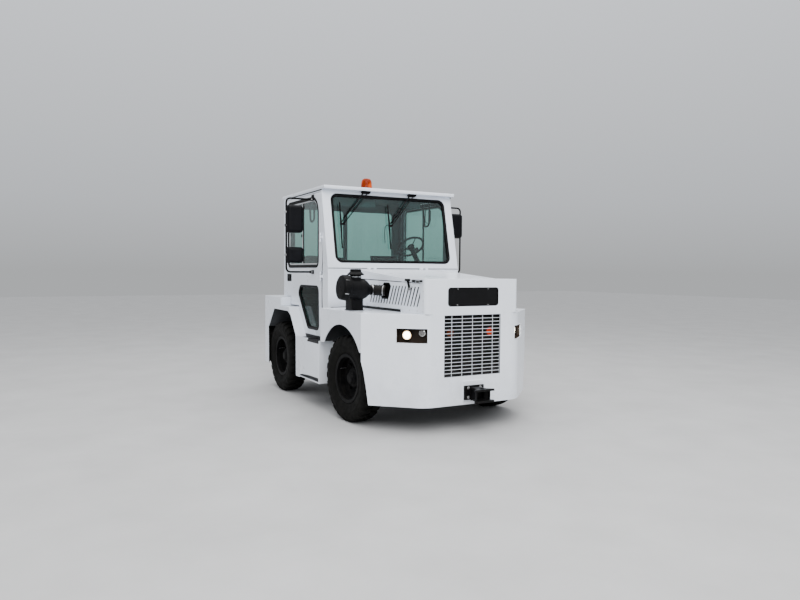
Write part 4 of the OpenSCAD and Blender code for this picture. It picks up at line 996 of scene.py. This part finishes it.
# ------------------------------------------------------------------ doors
UPPER = [(-150, 1770, 70), (-150, 2645, 205), (-1290, 2645, 70), (-1290, 1770, 70)]
LOWER = [(-134, 962, 60), (-150, 1501, 60), (-800, 1501, 70), (-862, 1404, 60), (-510, 962, 80)]
for s, word in ((-1, "right"), (1, "left")):
    body = word + "_door"
    fr = side_frame(s, 955)
    soften("door_panel_" + word, ["door_" + word], [WHITE, lining],
           lambda c, n, s=s: 1 if n.y * s < -0.5 and abs(c.y) < 917 else 0, body=body, width=2.2)
    k = Kit()
    k.ring(UPPER, fr, [(d * 1.45, h) for d, h in GASKET], n=12)
    k.ring(LOWER, fr, [(d * 1.3, h) for d, h in GASKET], n=8)
    k.done("door_window_seals_" + word, BLACK, body)
    # rails of the sliding pane: a pale frame just inside the seal and the meeting bar
    k = Kit()
    k.ring(UPPER, fr, [(-19, -16.5), (-19, -9), (-21, -7), (-34, -7), (-36, -9), (-36, -16.5)], n=12)
    k.box(-757, -733, *sorted((s * 930, s * 944)), 1776, 2640, 2)
    k.done("sliding_window_rail_" + word, [alu], body)
    k = Kit()
    k.box(-733, -710, *sorted((s * 931, s * 944.5)), 1776, 2640, 2)
    k.box(-790, -752, *sorted((s * 940, s * 950)), 2160, 2200, 4)
    k.done("sliding_window_latch_" + word, [M["trim_black"]], body)
    # handle: dished plate with a pull
    k = Kit()
    k.ring(rect(-1334, -1166, 1564, 1661, 8), fr, [(4, 0.2), (3, 2.5), (-3, 3), (-8, 0), (-8, -11), (4, -11)], n=4)
    k.prism(rounded(rect(-1334, -1166, 1564, 1661, 8), 3), fr, -12, -8, 0)
    k.prism(rounded([(-1322, 1600, 8), (-1212, 1600, 8), (-1200, 1612, 8), (-1200, 1636, 8), (-1212, 1646, 8), (-1322, 1646, 8)], 3), fr, -9, 4, 4, mat=0)
    k.lathe([(0, 0), (9, 0), (9, 3), (7, 4), (0, 4)], fr(-1182, 1600, -8), (0, s, 0), 20, 1)
    k.done("door_handle_" + word, [M["trim_plastic"], zinc], body)
    # inside: pull bar and release
    k = Kit()
    fi = side_frame(s, 915)
    k.tube(bend_path([fi(-300, 1640, 0), fi(-300, 1640, -45), fi(-620, 1640, -45), fi(-620, 1640, 0)], 24), 11, 10)
    k.box(-1180, -1090, *sorted((s * 915, s * 897)), 1600, 1650, 6)
    k.tube(bend_path([fi(-1110, 1625, -20), fi(-1110, 1625, -40), fi(-1170, 1625, -42)], 12), 7, 8)
    k.done("door_inside_pull_" + word, [M["trim_plastic"]], body)
    # grab handle on the windscreen pillar, seen through the door window
    k = Kit()
    y = s * 880
    k.tube(bend_path([(-470, y, 2690), (-474, y, 2372), (-600, y, 2352), (-650, y, 2690)], 55, 8), 13, 10)
    k.done("pillar_grab_handle_" + word, BLACK)

# pale strips on the cab and rear body that close the gaps round the doors
k = Kit()
for s in (-1, 1):
    k.box(-33.5, -29, *sorted((s * 918, s * 950)), 1290, 2598, 1)
    k.box(-1378, -1192, *sorted((s * 918, s * 950)), 1338, 1349, 1.5)
    k.box(-1196, -1187, *sorted((s * 956, s * 1088)), 1222, 1337, 1.5)
    k.box(-1196, -1187, *sorted((s * 918, s * 952)), 1222, 1349, 1.5)
k.done("door_gap_strips", [WHITE])

# ------------------------------------------------------------------ mirrors
for s, word in ((-1, "right"), (1, "left")):
    k = Kit()
    X, Y = -325, 1318
    P = [(X, s * 967, 1693), (X, s * Y, 1693), (X, s * Y, 2628), (X, s * 967, 2628)]
    k.tube(bend_path(P, 62, 10), 12, 14)
    heads = [(2188, 2545, 42)] + ([(1803, 2013, 30)] if s < 0 else [])
    for z0, z1, r in heads:
        fr = (lambda s: (lambda u, v, w: Vector((X - 9 + w, s * u, v))))(s)
        t_out = rounded(rect(1106, 1324, z0 + 2, z1 - 2, r), 6)
        # shell: domed back towards the front, open rim towards the rear
        loops = [(0, 0, 1.0), (0, 26, 1.0), (5, 55, 1.0), (16, 76, 0.9), (40, 88, 0.7)]
        t = bmesh.new()
        rows = []
        for d, w, q in loops:
            rows.append([t.verts.new(fr(u, v, w)) for u, v in rounded(grow(rect(1106, 1324, z0 + 2, z1 - 2, r), -d), 6)])
        n = len(rows[0])
        for a, b in zip(rows, rows[1:]):
            for i in range(n):
                j = (i + 1) % n
                t.faces.new((a[i], a[j], b[j], b[i]))
        t.faces.new(rows[0])
        t.faces.new(rows[-1])
        bmesh.ops.recalc_face_normals(t, faces=t.faces)
        k.merge(t, 1)
        k.prism(rounded(grow(rect(1106, 1324, z0 + 2, z1 - 2, r), -10), 6), fr, -2.5, -0.5, 0, mat=2)
        k.ring(rect(1106, 1324, z0 + 2, z1 - 2, r), fr, [(0, 0), (0, -5), (-4, -6), (-9, -5), (-9, 0)], mat=1, n=6)
        # clamps to the tube
        for z in ((z0 + 95, z1 - 95) if z1 - z0 > 250 else ((z0 + z1) / 2,)):
            k.box(X - 19, X + 19, *sorted((s * (Y - 16), s * (Y + 18))), z - 16, z + 16, 5, mat=3 if z1 - z0 < 250 or z > 2380 else 0)
            k.bolt((X + 19, s * (Y + 6), z), (1, 0, 0), 10, 5, mat=3)
    # feet on the door and their clamps
    for z, dz in ((1693, 0), (2628, 0)):
        k.box(X - 35, X + 35, *sorted((s * 955.5, s * 967)), z - (25 if z < 2000 else 14), (z + 25) if z < 2000 else 2690, 4)
        k.box(X - 20, X + 20, *sorted((s * 966, s * 1000)), z - 19, z + 19, 6, mat=0)
        k.bolt((X + 20, s * 983, z), (1, 0, 0), 12, 6, mat=3)
        for dx in (-24, 24):
            k.bolt((X + dx, s * 967, z + (0 if z < 2000 else 42)), (0, s, 0), 10, 4, mat=3 if z < 2000 else 0)
    k.done("mirror_arm_" + word, [M["trim_black"], M["trim_plastic"], mirror_glass, zinc], word + "_door",
           replaces=("mirror_" + word,), sharp=40)

# ------------------------------------------------------------------ rear body and steps
soften("rear_body_panels", ["rear_body"], [WHITE, undercoat],
       lambda c, n: 1 if (n.z < -0.5 and c.z > 1300) or (outward(c, n, -1200) < -0.3 and c.z < 1330) else 0, width=2.5)


def rear_fender_pick(c, n):
    if abs(c.y) < 755:
        return 1
    if abs(c.y) > 1098:
        return 0
    # inside of the arch looks at the wheel, and gets the grey of painted shade
    d = Vector((-1342 - c.x, 492 - c.z))
    d.normalize()
    return 1 if n.x * d.x + n.z * d.y > 0.2 else 0


soften("rear_fender_panels", ["rear_fenders"], [WHITE, painted_shade_grey], rear_fender_pick, width=2.5)


def step_pick(c, n):
    s = 1 if c.y > 0 else -1
    return 1 if n.y * s < -0.5 or (n.x < -0.5 and abs(c.y) < 1085 and c.x > 200) or (n.z < -0.5 and abs(c.y) < 1086) else 0


soften("step_box_panels", ["step_boxes"], [WHITE, undercoat], step_pick, width=2.5)
k = Kit()
for x0, x1, z, y0, y1 in ((-156, 228, 832, 922, 1084), (-556, 226, 341, 934, 1084)):
    low = 1 if z < 400 else 0
    k.box(x0, x1, -y1, -y0, z, z + 3, 1, mat=low)
    i = x0 + 14
    while i < x1 - 10:
        k.box(i - 4, i + 4, -y1 + 6, -y0 - 6, z + 2.5, z + 7, 2, mat=low)
        i += 24
    if low:
        # upright slats at the back of the lower step
        for zz in (350, 362, 374, 386):
            k.box(-446, 224, -1062, -1056, zz, zz + 5, 1, mat=1)
k.box(-563, 230.5, -1086, -917, 832, 834.5, 1)
k.box(-158, 229, -1102.5, -1086, 816, 837, 2.5)
k.box(-158, -155.5, -1087, -917, 834, 856, 1)
k.box(-160, 231, -919, -914.5, 834, 898, 1)
k.box(-600, 233, -961, -956.3, 836, 878, 1)
k.mirror()
k.done("step_treads", [tread_grey, grating])
k = Kit()
for x, z in ((-540, 800), (-540, 600), (-540, 370), (220, 800), (220, 600), (220, 420)):
    k.screw((x, -1100, z), (0, -1, 0), 6, 2.5)
for x, z in ((-1700, 1300), (-1450, 1300), (-1250, 1300), (-1880, 1200), (-1880, 800), (-1880, 420)):
    k.screw((x, -1100, z), (0, -1, 0), 6, 2.5)
for y in (300, 600, 900, 1060):
    for z in (380, 1310):
        k.screw((-1930, -y, z), (-1, 0, 0), 6, 2.5)
for x, z in ((960, 1215), (640, 1215), (1240, 1215), (340, 1215), (340, 900)):
    k.screw((x, -1100, z), (0, -1, 0), 6, 2.5)
k.mirror()
k.done("side_screws", [WHITE])

# ------------------------------------------------------------------ air cleaner and hose
AX, AY, AZ = 942, -1126, 1526
CAN = Matrix.Translation((AX, AY, AZ)) @ Matrix.Rotation(math.radians(-5), 4, "X")
Y1 = (0, 1, 0)
k = Kit()
k.lathe([(0, 0), (112, 0), (122, 1.5), (131, 5), (137, 11), (140.5, 18), (142, 26), (142.5, 60), (143, 64), (143, 84), (140, 90), (126, 95), (119, 100),
         (118, 108), (118, 262), (116, 280), (111, 294), (103, 308), (93, 322), (81, 337), (70, 350), (62, 360), (58, 366), (57, 384)],
        (0, 0, 0), Y1, 72, 0, mtx=CAN)
# end cover: shallow centre dish, and pressed rings
k.lathe([(60, 0.5), (60, -1.5), (56, -2.5), (52, -1.5), (52, 0.5)], (0, 0, 0), Y1, 48, 0, close=True, mtx=CAN)
k.lathe([(98, 0.5), (98, -1.2), (92, -2.0), (86, -1.2), (86, 0.5)], (0, 0, 0), Y1, 56, 0, close=True, mtx=CAN)
k.lathe([(0, -3.5), (12, -3.5), (12, 0), (0, 0)], (0, 0.5, 0), Y1, 20, 0, mtx=CAN)
k.lathe([(144, 66), (145, 68), (145, 78), (144, 80), (141, 80), (141, 66)], (0, 0, 0), Y1, 72, 0, close=True, mtx=CAN)
# strap bands round the can
for y in (140, 210):
    k.lathe([(117, y - 11), (120, y - 11), (120.5, y), (120, y + 11), (117, y + 11)], (0, 0, 0), Y1, 72, 0, close=True, mtx=CAN)
# toggle latches on the rim
for a, m in ((-28, 1), (36, 2), (150, 2), (240, 2)):
    rot = CAN @ Matrix.Rotation(math.radians(-a), 4, "Y")
    k.box(141, 147, 14, 44, -6, 6, 2, mat=m, mtx=rot)
    k.tube([(144, 44, -5), (146, 60, -5), (146, 60, 5), (144, 44, 5)], 1.8, 6, mat=m, mtx=rot)
# neck, pale clamp and rain cap
k.lathe([(64, 0), (64, 72)], (AX, -935, 1594), (0, 0, 1), 48, 0)
k.lathe([(65.5, 0), (66.5, 1), (66.5, 7), (65.5, 8), (62, 8), (62, 0)], (AX, -935, 1638), (0, 0, 1), 48, 3, close=True)
k.box(AX + 60, AX + 74, -941, -929, 1638, 1646, 2, mat=2)
k.lathe([(60, 0), (92, 1), (96, 4), (96, 12), (92, 16), (72, 34), (66, 38), (62, 42), (62, 64), (59, 68.5), (50, 70), (0, 70)], (AX, -935, 1660), (0, 0, 1), 56, 0)
for a in range(12):
    t = a * math.pi / 6
    rot = Matrix.Translation((AX, -935, 0)) @ Matrix.Rotation(t, 4, "Z")
    k.box(60, 64.5, -4, 4, 1702, 1724, 1.5, mat=0, mtx=rot)
# bracket on the deck: folded plate box with a foot
k.box(775, 945, -985, -840, 1261, 1425, 4)
k.box(768, 955, -992, -832, 1261, 1266, 2)
for x in (781, 940):
    for y in (-986, -838):
        k.screw((x, y, 1266), (0, 0, 1), 5, 4, mat=2)
k.bolt((945, -955, 1405), (1, 0, 0), 12, 7, mat=1)
k.done("air_cleaner_can", [M["trim_black"], zinc, dull_steel, alu], replaces=("air_cleaner",))

k = Kit()
path, rad = [], []
a, b = Vector((AX, -744, 1492)), Vector((AX, -720, 1491))
d = Vector((108, 122, -6))
N = 30
cl = bend_path([a, b, b + d * 0.94], 26, 6)
# even steps along the run
L = [0.0]
for p, q in zip(cl, cl[1:]):
    L.append(L[-1] + (q - p).length)


def at(s):
    for i in range(len(L) - 1):
        if s <= L[i + 1] + 1e-9:
            t = (s - L[i]) / max(L[i + 1] - L[i], 1e-9)
            return cl[i].lerp(cl[i + 1], t)
    return cl[-1]


for i in range(N * 2 + 1):
    s = L[-1] * i / (N * 2)
    path.append(at(s))
    rad.append(61.5 if (i % 4) in (0, 1) and 14 < s < L[-1] - 12 else 58.5)
k.tube(path, rad, 40)
k.done("intake_hose_ribbed", [M["hose_rubber"]], replaces=("intake_hose",))
k = Kit()
k.lathe([(60, 0), (63.5, 1), (63.5, 13), (60, 14), (57, 14), (57, 0)], (AX, -742, 1492), (0, 1, 0), 48, 0, close=True)
k.box(AX - 12, AX + 12, -740, -731, 1492 + 62, 1492 + 72, 3)
dn = d.normalized()
p = at(L[-1] * 0.84)
k.lathe([(60, 0), (63, 1), (63, 9), (60, 10), (57, 10), (57, 0)], p, dn, 48, 1, close=True)
k.done("hose_clamps", [steel, zinc])


# ------------------------------------------------------------------ wheels
def wheel_matrix(kind, s):
    if kind == "rear":
        m = Matrix.Translation((-1342, s * 938, 492))
    else:
        m = Matrix.Translation((897.8394 if s > 0 else 926.1606, s * 937.5055, 492)) @ Matrix.Rotation(math.radians(4), 4, "Z")
    return m if s > 0 else m @ Matrix.Rotation(math.pi, 4, "Z")


CARCASS = [(254.3, 92), (282, 92), (287, 95), (292, 103), (300, 108), (318, 114), (340, 121), (362, 126.5), (380, 129), (386, 131), (394, 131), (398, 129.5),
           (412, 129.8), (430, 128), (446, 123), (458, 117), (467, 109), (473, 98), (475, 80), (476, 40), (476, 8)]


def tyre(k, mtx, lugs=27):
    prof = [(r, y) for r, y in CARCASS] + [(r, -y) for r, y in reversed(CARCASS)]
    k.lathe(prof, (0, 0, 0), (0, 1, 0), 108, 0, close=True, mtx=mtx)
    pitch = 2 * math.pi / lugs
    stations = [(4, 492, 0.34), (34, 492, 0.335), (66, 492, 0.33), (86, 490.5, 0.325), (103, 485, 0.32), (117, 473, 0.31), (127.5, 452, 0.27), (129, 440, 0.22)]
    for side in (-1, 1):
        for i in range(lugs):
            th0 = pitch * (i + (0.5 if side > 0 else 0.0))
            t = bmesh.new()
            loops = []
            for y, ro, w in stations:
                hw = pitch * w
                bend = th0 + pitch * 0.42 * (y / 129.0) ** 1.6
                ri = min(ro - 6, 470) if y < 110 else ro - 14
                row = []
                for a, r in ((-1.0, ri), (-0.90, ro - 3), (-0.80, ro), (0.80, ro), (0.90, ro - 3), (1.0, ri)):
                    ang = bend + hw * a
                    row.append(t.verts.new(Vector((r * math.cos(ang), side * y, r * math.sin(ang)))))
                loops.append(row)
            for p, q in zip(loops, loops[1:]):
                for a in range(6):
                    b = (a + 1) % 6
                    t.faces.new((p[a], p[b], q[b], q[a]))
            t.faces.new(loops[0])
            t.faces.new(loops[-1])
            bmesh.ops.recalc_face_normals(t, faces=t.faces)
            k.merge(t, 0, mtx)


def rim_fit(k, mtx):
    # lock ring, nuts, hub cap and valve
    k.lathe([(279, 94), (281.5, 97), (280, 101), (270, 102.5), (256, 102), (248, 98), (244, 90), (243, 80), (246, 80), (252, 94)], (0, 0, 0), (0, 1, 0), 96, 0, close=True, mtx=mtx)
    k.lathe([(242.5, 60), (236, 58), (236, 50), (242.5, 48)], (0, 0, 0), (0, 1, 0), 96, 0, close=True, mtx=mtx)
    for i in range(10):
        a = math.radians(36 * i + 18)
        k.bolt((130 * math.cos(a), -46, 130 * math.sin(a)), (0, 1, 0), 30, 20, mat=0, mtx=mtx)
    k.lathe([(86, 30), (86, 40), (80, 44), (62, 46), (60, 60), (54, 68), (20, 70), (0, 70)], (0, 0, 0), (0, 1, 0), 48, 0, mtx=mtx)
    for i in range(8):
        a = math.radians(45 * i)
        k.bolt((73 * math.cos(a), 44, 73 * math.sin(a)), (0, 1, 0), 11, 6, mat=0, mtx=mtx)
    k.tube([(226 * math.cos(0.4), -10, 226 * math.sin(0.4)), (228 * math.cos(0.4), 40, 228 * math.sin(0.4)), (222 * math.cos(0.4), 66, 222 * math.sin(0.4))], [5, 4, 4], 8, mat=1, mtx=mtx)


for kind in ("front", "rear"):
    for s, word in ((1, "left"), (-1, "right")):
        body = kind + "_wheel_" + word
        m = wheel_matrix(kind, s)
        k = Kit()
        tyre(k, m)
        k.done("%s_tyre_lugged_%s" % (kind, word), [M["tyre"]], body, replaces=("%s_tyre_%s" % (kind, word),), sharp=30, weighted=False)
        soften("%s_rim_dish_%s" % (kind, word), ["%s_rim_%s" % (kind, word)], [M["rim_black"], zinc], lambda c, n: 0, body=body,
               width=2.0, extra=lambda k, m=m: rim_fit(k, m))

# ------------------------------------------------------------------ dashboard and steering wheel
SWC = Vector((-245, 450, 2050))
tilt = Matrix.Translation(SWC) @ Matrix.Rotation(math.radians(-42), 4, "Y")


def dash_fit(k):
    # instrument hood in front of the wheel with three dials, and rows of switches
    face = Matrix.Translation((-95, 450, 1742)) @ Matrix.Rotation(math.radians(-40), 4, "Y")
    k.box(-40, 46, -210, 210, 0, 92, 14, 3, mtx=face)
    for y, r in ((-120, 48), (0, 60), (120, 48)):
        c = face @ Vector((-41, y, 48))
        ax = (face @ Vector((-1, 0, 0))) - (face @ Vector((0, 0, 0)))
        k.lathe([(r * 0.7, 0), (r * 0.7, 5), (r * 0.62, 6), (r * 0.6, 2), (0, 1.5)], c, ax, 36, 0)
        k.lathe([(r * 0.6, 1.8), (0, 1.9)], c, ax, 36, 1)
        for i in range(9):
            a = math.radians(-120 + 30 * i)
            up = (face @ Vector((0, 0, 1))) - (face @ Vector((0, 0, 0)))
            q = c + ax * 2.6 + up * (math.cos(a) * r * 0.48) + Vector((0, 1, 0)) * (math.sin(a) * r * 0.48)
            k.lathe([(2.2, -1), (2.2, 0.6), (0, 0.8)], q, ax, 8, 2)
        q = c + ax * 2.8
        k.tube([q, q + Vector((0, 1, 0)) * r * 0.3 + ((face @ Vector((0, 0, 1))) - (face @ Vector((0, 0, 0)))) * r * 0.3], 1.3, 6, mat=2)
    for i in range(9):
        y = -640 + i * 62
        k.box(-116, -106, y, y + 40, 1648, 1690, 4, mat=0)
        k.box(-121, -112, y + 8, y + 32, 1656, 1682, 3, mat=1)
    for y in (-760, 0, 790):
        k.prism(rounded(rect(y - 60, y + 60, 1620, 1680, 10), 3), lambda u, v, w: Vector((-110 - w, u, v)), -1, 5, 2)
    for i in range(3):
        k.tube(bend_path([(-60 - i * 0, -300 + i * 60, 1760), (-70, -300 + i * 60, 1820)], 5), [6, 5], 8)
        k.lathe([(0, 0), (13, 6), (15, 16), (10, 26), (0, 28)], (-70, -300 + i * 60, 1816), (0, 0, 1), 16, 1)
    # stalks on the column
    for sgn, ln in ((-1, 150), (1, 130)):
        k.tube([tilt @ Vector((10, sgn * 30, -80)), tilt @ Vector((20, sgn * (30 + ln * 0.5), -76)), tilt @ Vector((30, sgn * (30 + ln), -66))], [7, 6, 9], 10)


soften("dashboard_body", ["dashboard"], [M["trim_plastic"], dial_face, dial_mark], lambda c, n: 0, width=8.0, seg=3, extra=dash_fit)

k = Kit()
ringp = [tilt @ Vector((180 * math.cos(2 * math.pi * i / 72), 180 * math.sin(2 * math.pi * i / 72), 0)) for i in range(72)]
k.tube(ringp, [15.0 if (i % 3) else 14.2 for i in range(72)], 14, closed=True)
ax = tilt @ Vector((0, 0, 1)) - tilt @ Vector((0, 0, 0))
k.lathe([(30, -45), (44, -40), (45, -10), (50, -4), (52, 2), (46, 9), (30, 13), (0, 14)], tilt @ Vector((0, 0, 0)), ax, 40, 0)
for i in range(3):
    a = math.radians(120 * i)
    u = Vector((math.cos(a), math.sin(a), 0))
    k.tube([tilt @ (u * 40 + Vector((0, 0, -6))), tilt @ (u * 90 + Vector((0, 0, -9))), tilt @ (u * 135 + Vector((0, 0, -6))), tilt @ (u * 176)], [15, 13, 12, 11], 12, flat=0.55)
k.lathe([(0, 0), (9, 1), (12, 22), (22, 34), (24, 46), (16, 56), (0, 60)], tilt @ Vector((-180 * 0.5, 180 * 0.866, 10)), ax, 24, 0)
k.done("steering_wheel_rim", [M["trim_plastic"]], replaces=("steering_wheel",))

# ------------------------------------------------------------------ seats
SEATS = [(450, 245, 220, 360, 1940, 80), (-420, 250, 200, 330, 1905, 70)]


def cushion(name, lo, hi, lean_x=0.0, crown=0.0):
    """A stuffed pad: rounded block, swollen by cloth pressure, then grooved along its seams."""
    (x0, y0, z0), (x1, y1, z1) = lo, hi
    t = bmesh.new()
    bmesh.ops.create_cube(t, size=1)
    g = 14
    for v in t.verts:
        v.co = Vector(((x0 + g) if v.co.x < 0 else (x1 - g), (y0 + g) if v.co.y < 0 else (y1 - g), (z0 + g) if v.co.z < 0 else (z1 - g)))
    bmesh.ops.bevel(t, geom=list(t.edges), offset=26, segments=4, affect="EDGES", profile=0.5)
    bmesh.ops.scale(t, vec=(0.001, 0.001, 0.001), verts=t.verts)
    me = bpy.data.meshes.new(name)
    t.to_mesh(me)
    t.free()
    ob = bpy.data.objects.new(name, me)
    bpy.context.scene.collection.objects.link(ob)
    rm = ob.modifiers.new("remesh", "REMESH")
    rm.mode = "VOXEL"
    rm.voxel_size = 0.011
    rm.use_smooth_shade = True
    bake(ob)
    rest = [v.co.copy() for v in ob.data.vertices]
    cl = ob.modifiers.new("cloth", "CLOTH")
    cl.settings.quality = 5
    cl.settings.mass = 0.3
    cl.settings.use_pressure = True
    cl.settings.uniform_pressure_force = 4.0
    cl.settings.effector_weights.gravity = 0
    cl.settings.tension_stiffness = 25
    cl.settings.compression_stiffness = 25
    cl.settings.bending_stiffness = 1.0
    cl.collision_settings.use_collision = False
    sc = bpy.context.scene
    for f in range(1, 21):
        sc.frame_set(f)
    bake(ob)
    sc.frame_set(1)
    pos = [v.co.copy() for v in ob.data.vertices]
    cap = 0.024
    for v, a, b in zip(ob.data.vertices, rest, pos):
        m = b - a
        if m.length > cap:
            m = m.normalized() * cap
        v.co = a + m
    sub = ob.modifiers.new("subdiv", "SUBSURF")
    sub.levels = sub.render_levels = 1
    bake(ob)
    me = ob.data
    me.update()
    lo_m, hi_m = Vector(lo) / 1000, Vector(hi) / 1000
    upright = (z1 - z0) > (x1 - x0)
    nrm = [v.normal.copy() for v in me.vertices]
    for v, n in zip(me.vertices, nrm):
        p = v.co
        # sewn channels: two long seams and two cross seams
        cy = (lo_m.y + hi_m.y) / 2
        hy = (hi_m.y - lo_m.y) / 2
        dl = min(abs(p.y - (cy - hy * 0.52)), abs(p.y - (cy + hy * 0.52)))
        g = math.exp(-(dl / 0.006) ** 2)
        if upright:
            w = n.x > 0.3
            cs = [lo_m.z + (hi_m.z - lo_m.z) * q for q in (0.28, 0.72)]
            dc = min(abs(p.z - c) for c in cs)
        else:
            w = n.z > 0.3
            cs = [lo_m.x + (hi_m.x - lo_m.x) * q for q in (0.30, 0.66)]
            dc = min(abs(p.x - c) for c in cs)
        inside = abs(p.y - cy) < hy * 0.52
        g = max(g, math.exp(-(dc / 0.006) ** 2) if inside else 0.0)
        if w:
            v.co = p - n * 0.007 * g
    if lean_x:
        for v in me.vertices:
            v.co.x -= lean_x * 0.001 * (v.co.z - z0 * 0.001) / ((z1 - z0) * 0.001)
    me.materials.clear()
    me.materials.append(M["seat_vinyl"])
    for p in me.polygons:
        p.use_smooth = True
    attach(ob, "vehicle")
    return ob


def bake(ob):
    deps = bpy.context.evaluated_depsgraph_get()
    me = bpy.data.meshes.new_from_object(ob.evaluated_get(deps), depsgraph=deps)
    ob.modifiers.clear()
    ob.data = me


for i, (sy, hw, c0, c1, top, ln) in enumerate(SEATS):
    word = ("driver", "mate")[i]
    F = 1280
    X = -760
    pad = cushion("seat_cushion_" + word, (X - 232, sy - hw + 4, F + c0 + 26), (X + 248, sy + hw - 4, F + c1 - 4))
    back = cushion("seat_back_" + word, (X - 226, sy - hw + 16, F + c1 - 40), (X - 124, sy + hw - 16, top - 6), lean_x=ln)
    k = Kit()
    # pan, slide rails, sprung base with a bellows, and the back's shell
    k.prism(rounded(rect(X - 238, X + 246, sy - hw + 8, sy + hw - 8, 40), 5), z_frame(F + c0), 0, 30, 6)
    for y in (-hw + 80, hw - 80):
        k.box(X - 190, X + 190, sy + y - 14, sy + y + 14, F + c0 - 22, F + c0 + 2, 3, mat=1)
    z0, z1 = F + 30, F + c0 - 22
    rows = [(-8 if j % 2 else 6, z0 + (z1 - z0) * j / 8) for j in range(9)]
    t = bmesh.new()
    loops = [[t.verts.new((u, v, z)) for u, v in rounded(grow(rect(X - 190, X + 190, sy - hw + 75, sy + hw - 75, 30), d), 4)] for d, z in rows]
    n = len(loops[0])
    for a, b in zip(loops, loops[1:]):
        for q in range(n):
            r = (q + 1) % n
            t.faces.new((a[q], a[r], b[r], b[q]))
    t.faces.new(loops[0])
    t.faces.new(loops[-1])
    bmesh.ops.recalc_face_normals(t, faces=t.faces)
    k.merge(t, 0)
    k.box(X - 200, X + 200, sy - hw + 65, sy + hw - 65, F, F + 30, 5, mat=1)
    k.tube([(X + 120, sy - hw + 60, F + c0 - 10), (X + 200, sy - hw + 60, F + c0 - 12), (X + 235, sy - hw + 75, F + c0 - 10)], 6, 8, mat=1)
    # back shell behind the pad
    sh = Matrix.Identity(4)
    z0, z1 = F + c1 - 60, top
    k.prism([(X - 238, z0), (X - 222, z0), (X - 222 - ln, z1 - 14), (X - 230 - ln, z1 - 2), (X - 238 - ln, z1 - 14)],
            lambda u, v, w: Vector((u, w, v)), sy - hw + 24, sy + hw - 24, 4)
    k.done("seat_frame_" + word, [M["trim_plastic"], M["chassis_black"]])
    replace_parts(pad, "seats") if i == 0 else None

# floor mat ribs in the cab and in the entry wells
k = Kit()
for s in (-1, 1):
    for i in range(9):
        x = -520 + i * 70
        k.box(x, x + 24, min(s * 610, s * 905), max(s * 610, s * 905), 832, 836, 1.5)
for i in range(14):
    x = -380 + i * 34
    k.box(x, x + 12, -580, -170, 1280, 1284, 1.5)
    k.box(x, x + 12, 170, 590, 1280, 1284, 1.5) if x + 12 < -10 else None
k.done("floor_mat_ribs", [M["floor_rubber"]])

# ------------------------------------------------------------------ underbody fittings
k = Kit()
for ax_x in (912, -1342):
    for s in (-1, 1):
        for dx in (-42, 42):
            k.tube(bend_path([(ax_x + dx, s * 318, 640), (ax_x + dx, s * 318, 418), (ax_x + dx, s * 402, 418), (ax_x + dx, s * 402, 640)], 26), 9, 8)
        k.box(ax_x - 62, ax_x + 62, min(s * 305, s * 415), max(s * 305, s * 415), 606, 620, 3)
        for d in (-440, 440):
            k.lathe([(0, -6), (17, -6), (17, 82), (0, 82)], (ax_x + d, s * 319, 612), (0, s, 0), 20, 0)
        for d in (-250, 250):
            k.box(ax_x + d - 14, ax_x + d + 14, min(s * 319, s * 401), max(s * 319, s * 401), 567, 609, 3)
k.done("spring_clips", [M["cast_black"]])
k = Kit()
for s in (-1, 1):
    for x in range(-1700, 1700, 200):
        for z in (650, 750):
            k.bolt((x, s * 380, z), (0, s, 0), 16, 7, washer=False)
k.done("chassis_bolts", [M["chassis_black"]])


# ------------------------------------------------------------------ stage
def stage():
    me = bpy.data.meshes.new("floor")
    s = 40
    me.from_pydata([(-s, -s, 0), (s, -s, 0), (s, s, 0), (-s, s, 0)], [], [(0, 1, 2, 3)])
    ob = bpy.data.objects.new("floor", me)
    bpy.context.scene.collection.objects.link(ob)
    m, nt, b = new_mat("floor_pale")
    v = coords(nt)
    nt.links.new(ramp(nt, noise(nt, v, 1.3, 8, 0.6), [(0.3, grey(0.44)), (0.7, grey(0.50))]), b.inputs["Base Color"])
    b.inputs["Roughness"].default_value = 0.85
    me.materials.append(m)
    w = bpy.data.worlds.new("sky")
    bpy.context.scene.world = w
    w.use_nodes = True
    nt = w.node_tree
    bg = nt.nodes["Background"]
    tc = nt.nodes.new("ShaderNodeTexCoord")
    sep = nt.nodes.new("ShaderNodeSeparateXYZ")
    nt.links.new(tc.outputs["Generated"], sep.inputs["Vector"])
    cr = ramp(nt, sep.outputs["Z"], [(0.0, (0.42, 0.43, 0.44, 1)), (0.10, (0.55, 0.57, 0.60, 1)), (0.45, (0.86, 0.89, 0.94, 1)), (1.0, (1.0, 1.0, 1.0, 1))])
    nt.links.new(cr, bg.inputs["Color"])
    bg.inputs["Strength"].default_value = 1.15

    def area(name, loc, target, size, power):
        l = bpy.data.lights.new(name, "AREA")
        l.shape = "RECTANGLE"
        l.size, l.size_y = size
        l.energy = power
        o = bpy.data.objects.new(name, l)
        bpy.context.scene.collection.objects.link(o)
        o.location = loc
        o.rotation_euler = (Vector(target) - Vector(loc)).to_track_quat("-Z", "Y").to_euler()
    area("key", (9, -3, 8), (0, 0, 1.2), (8, 8), 1250)
    area("top", (0, 0, 9), (0, 0, 0), (9, 9), 600)


stage()
for ob in WEIGHTED:
    bake(ob)
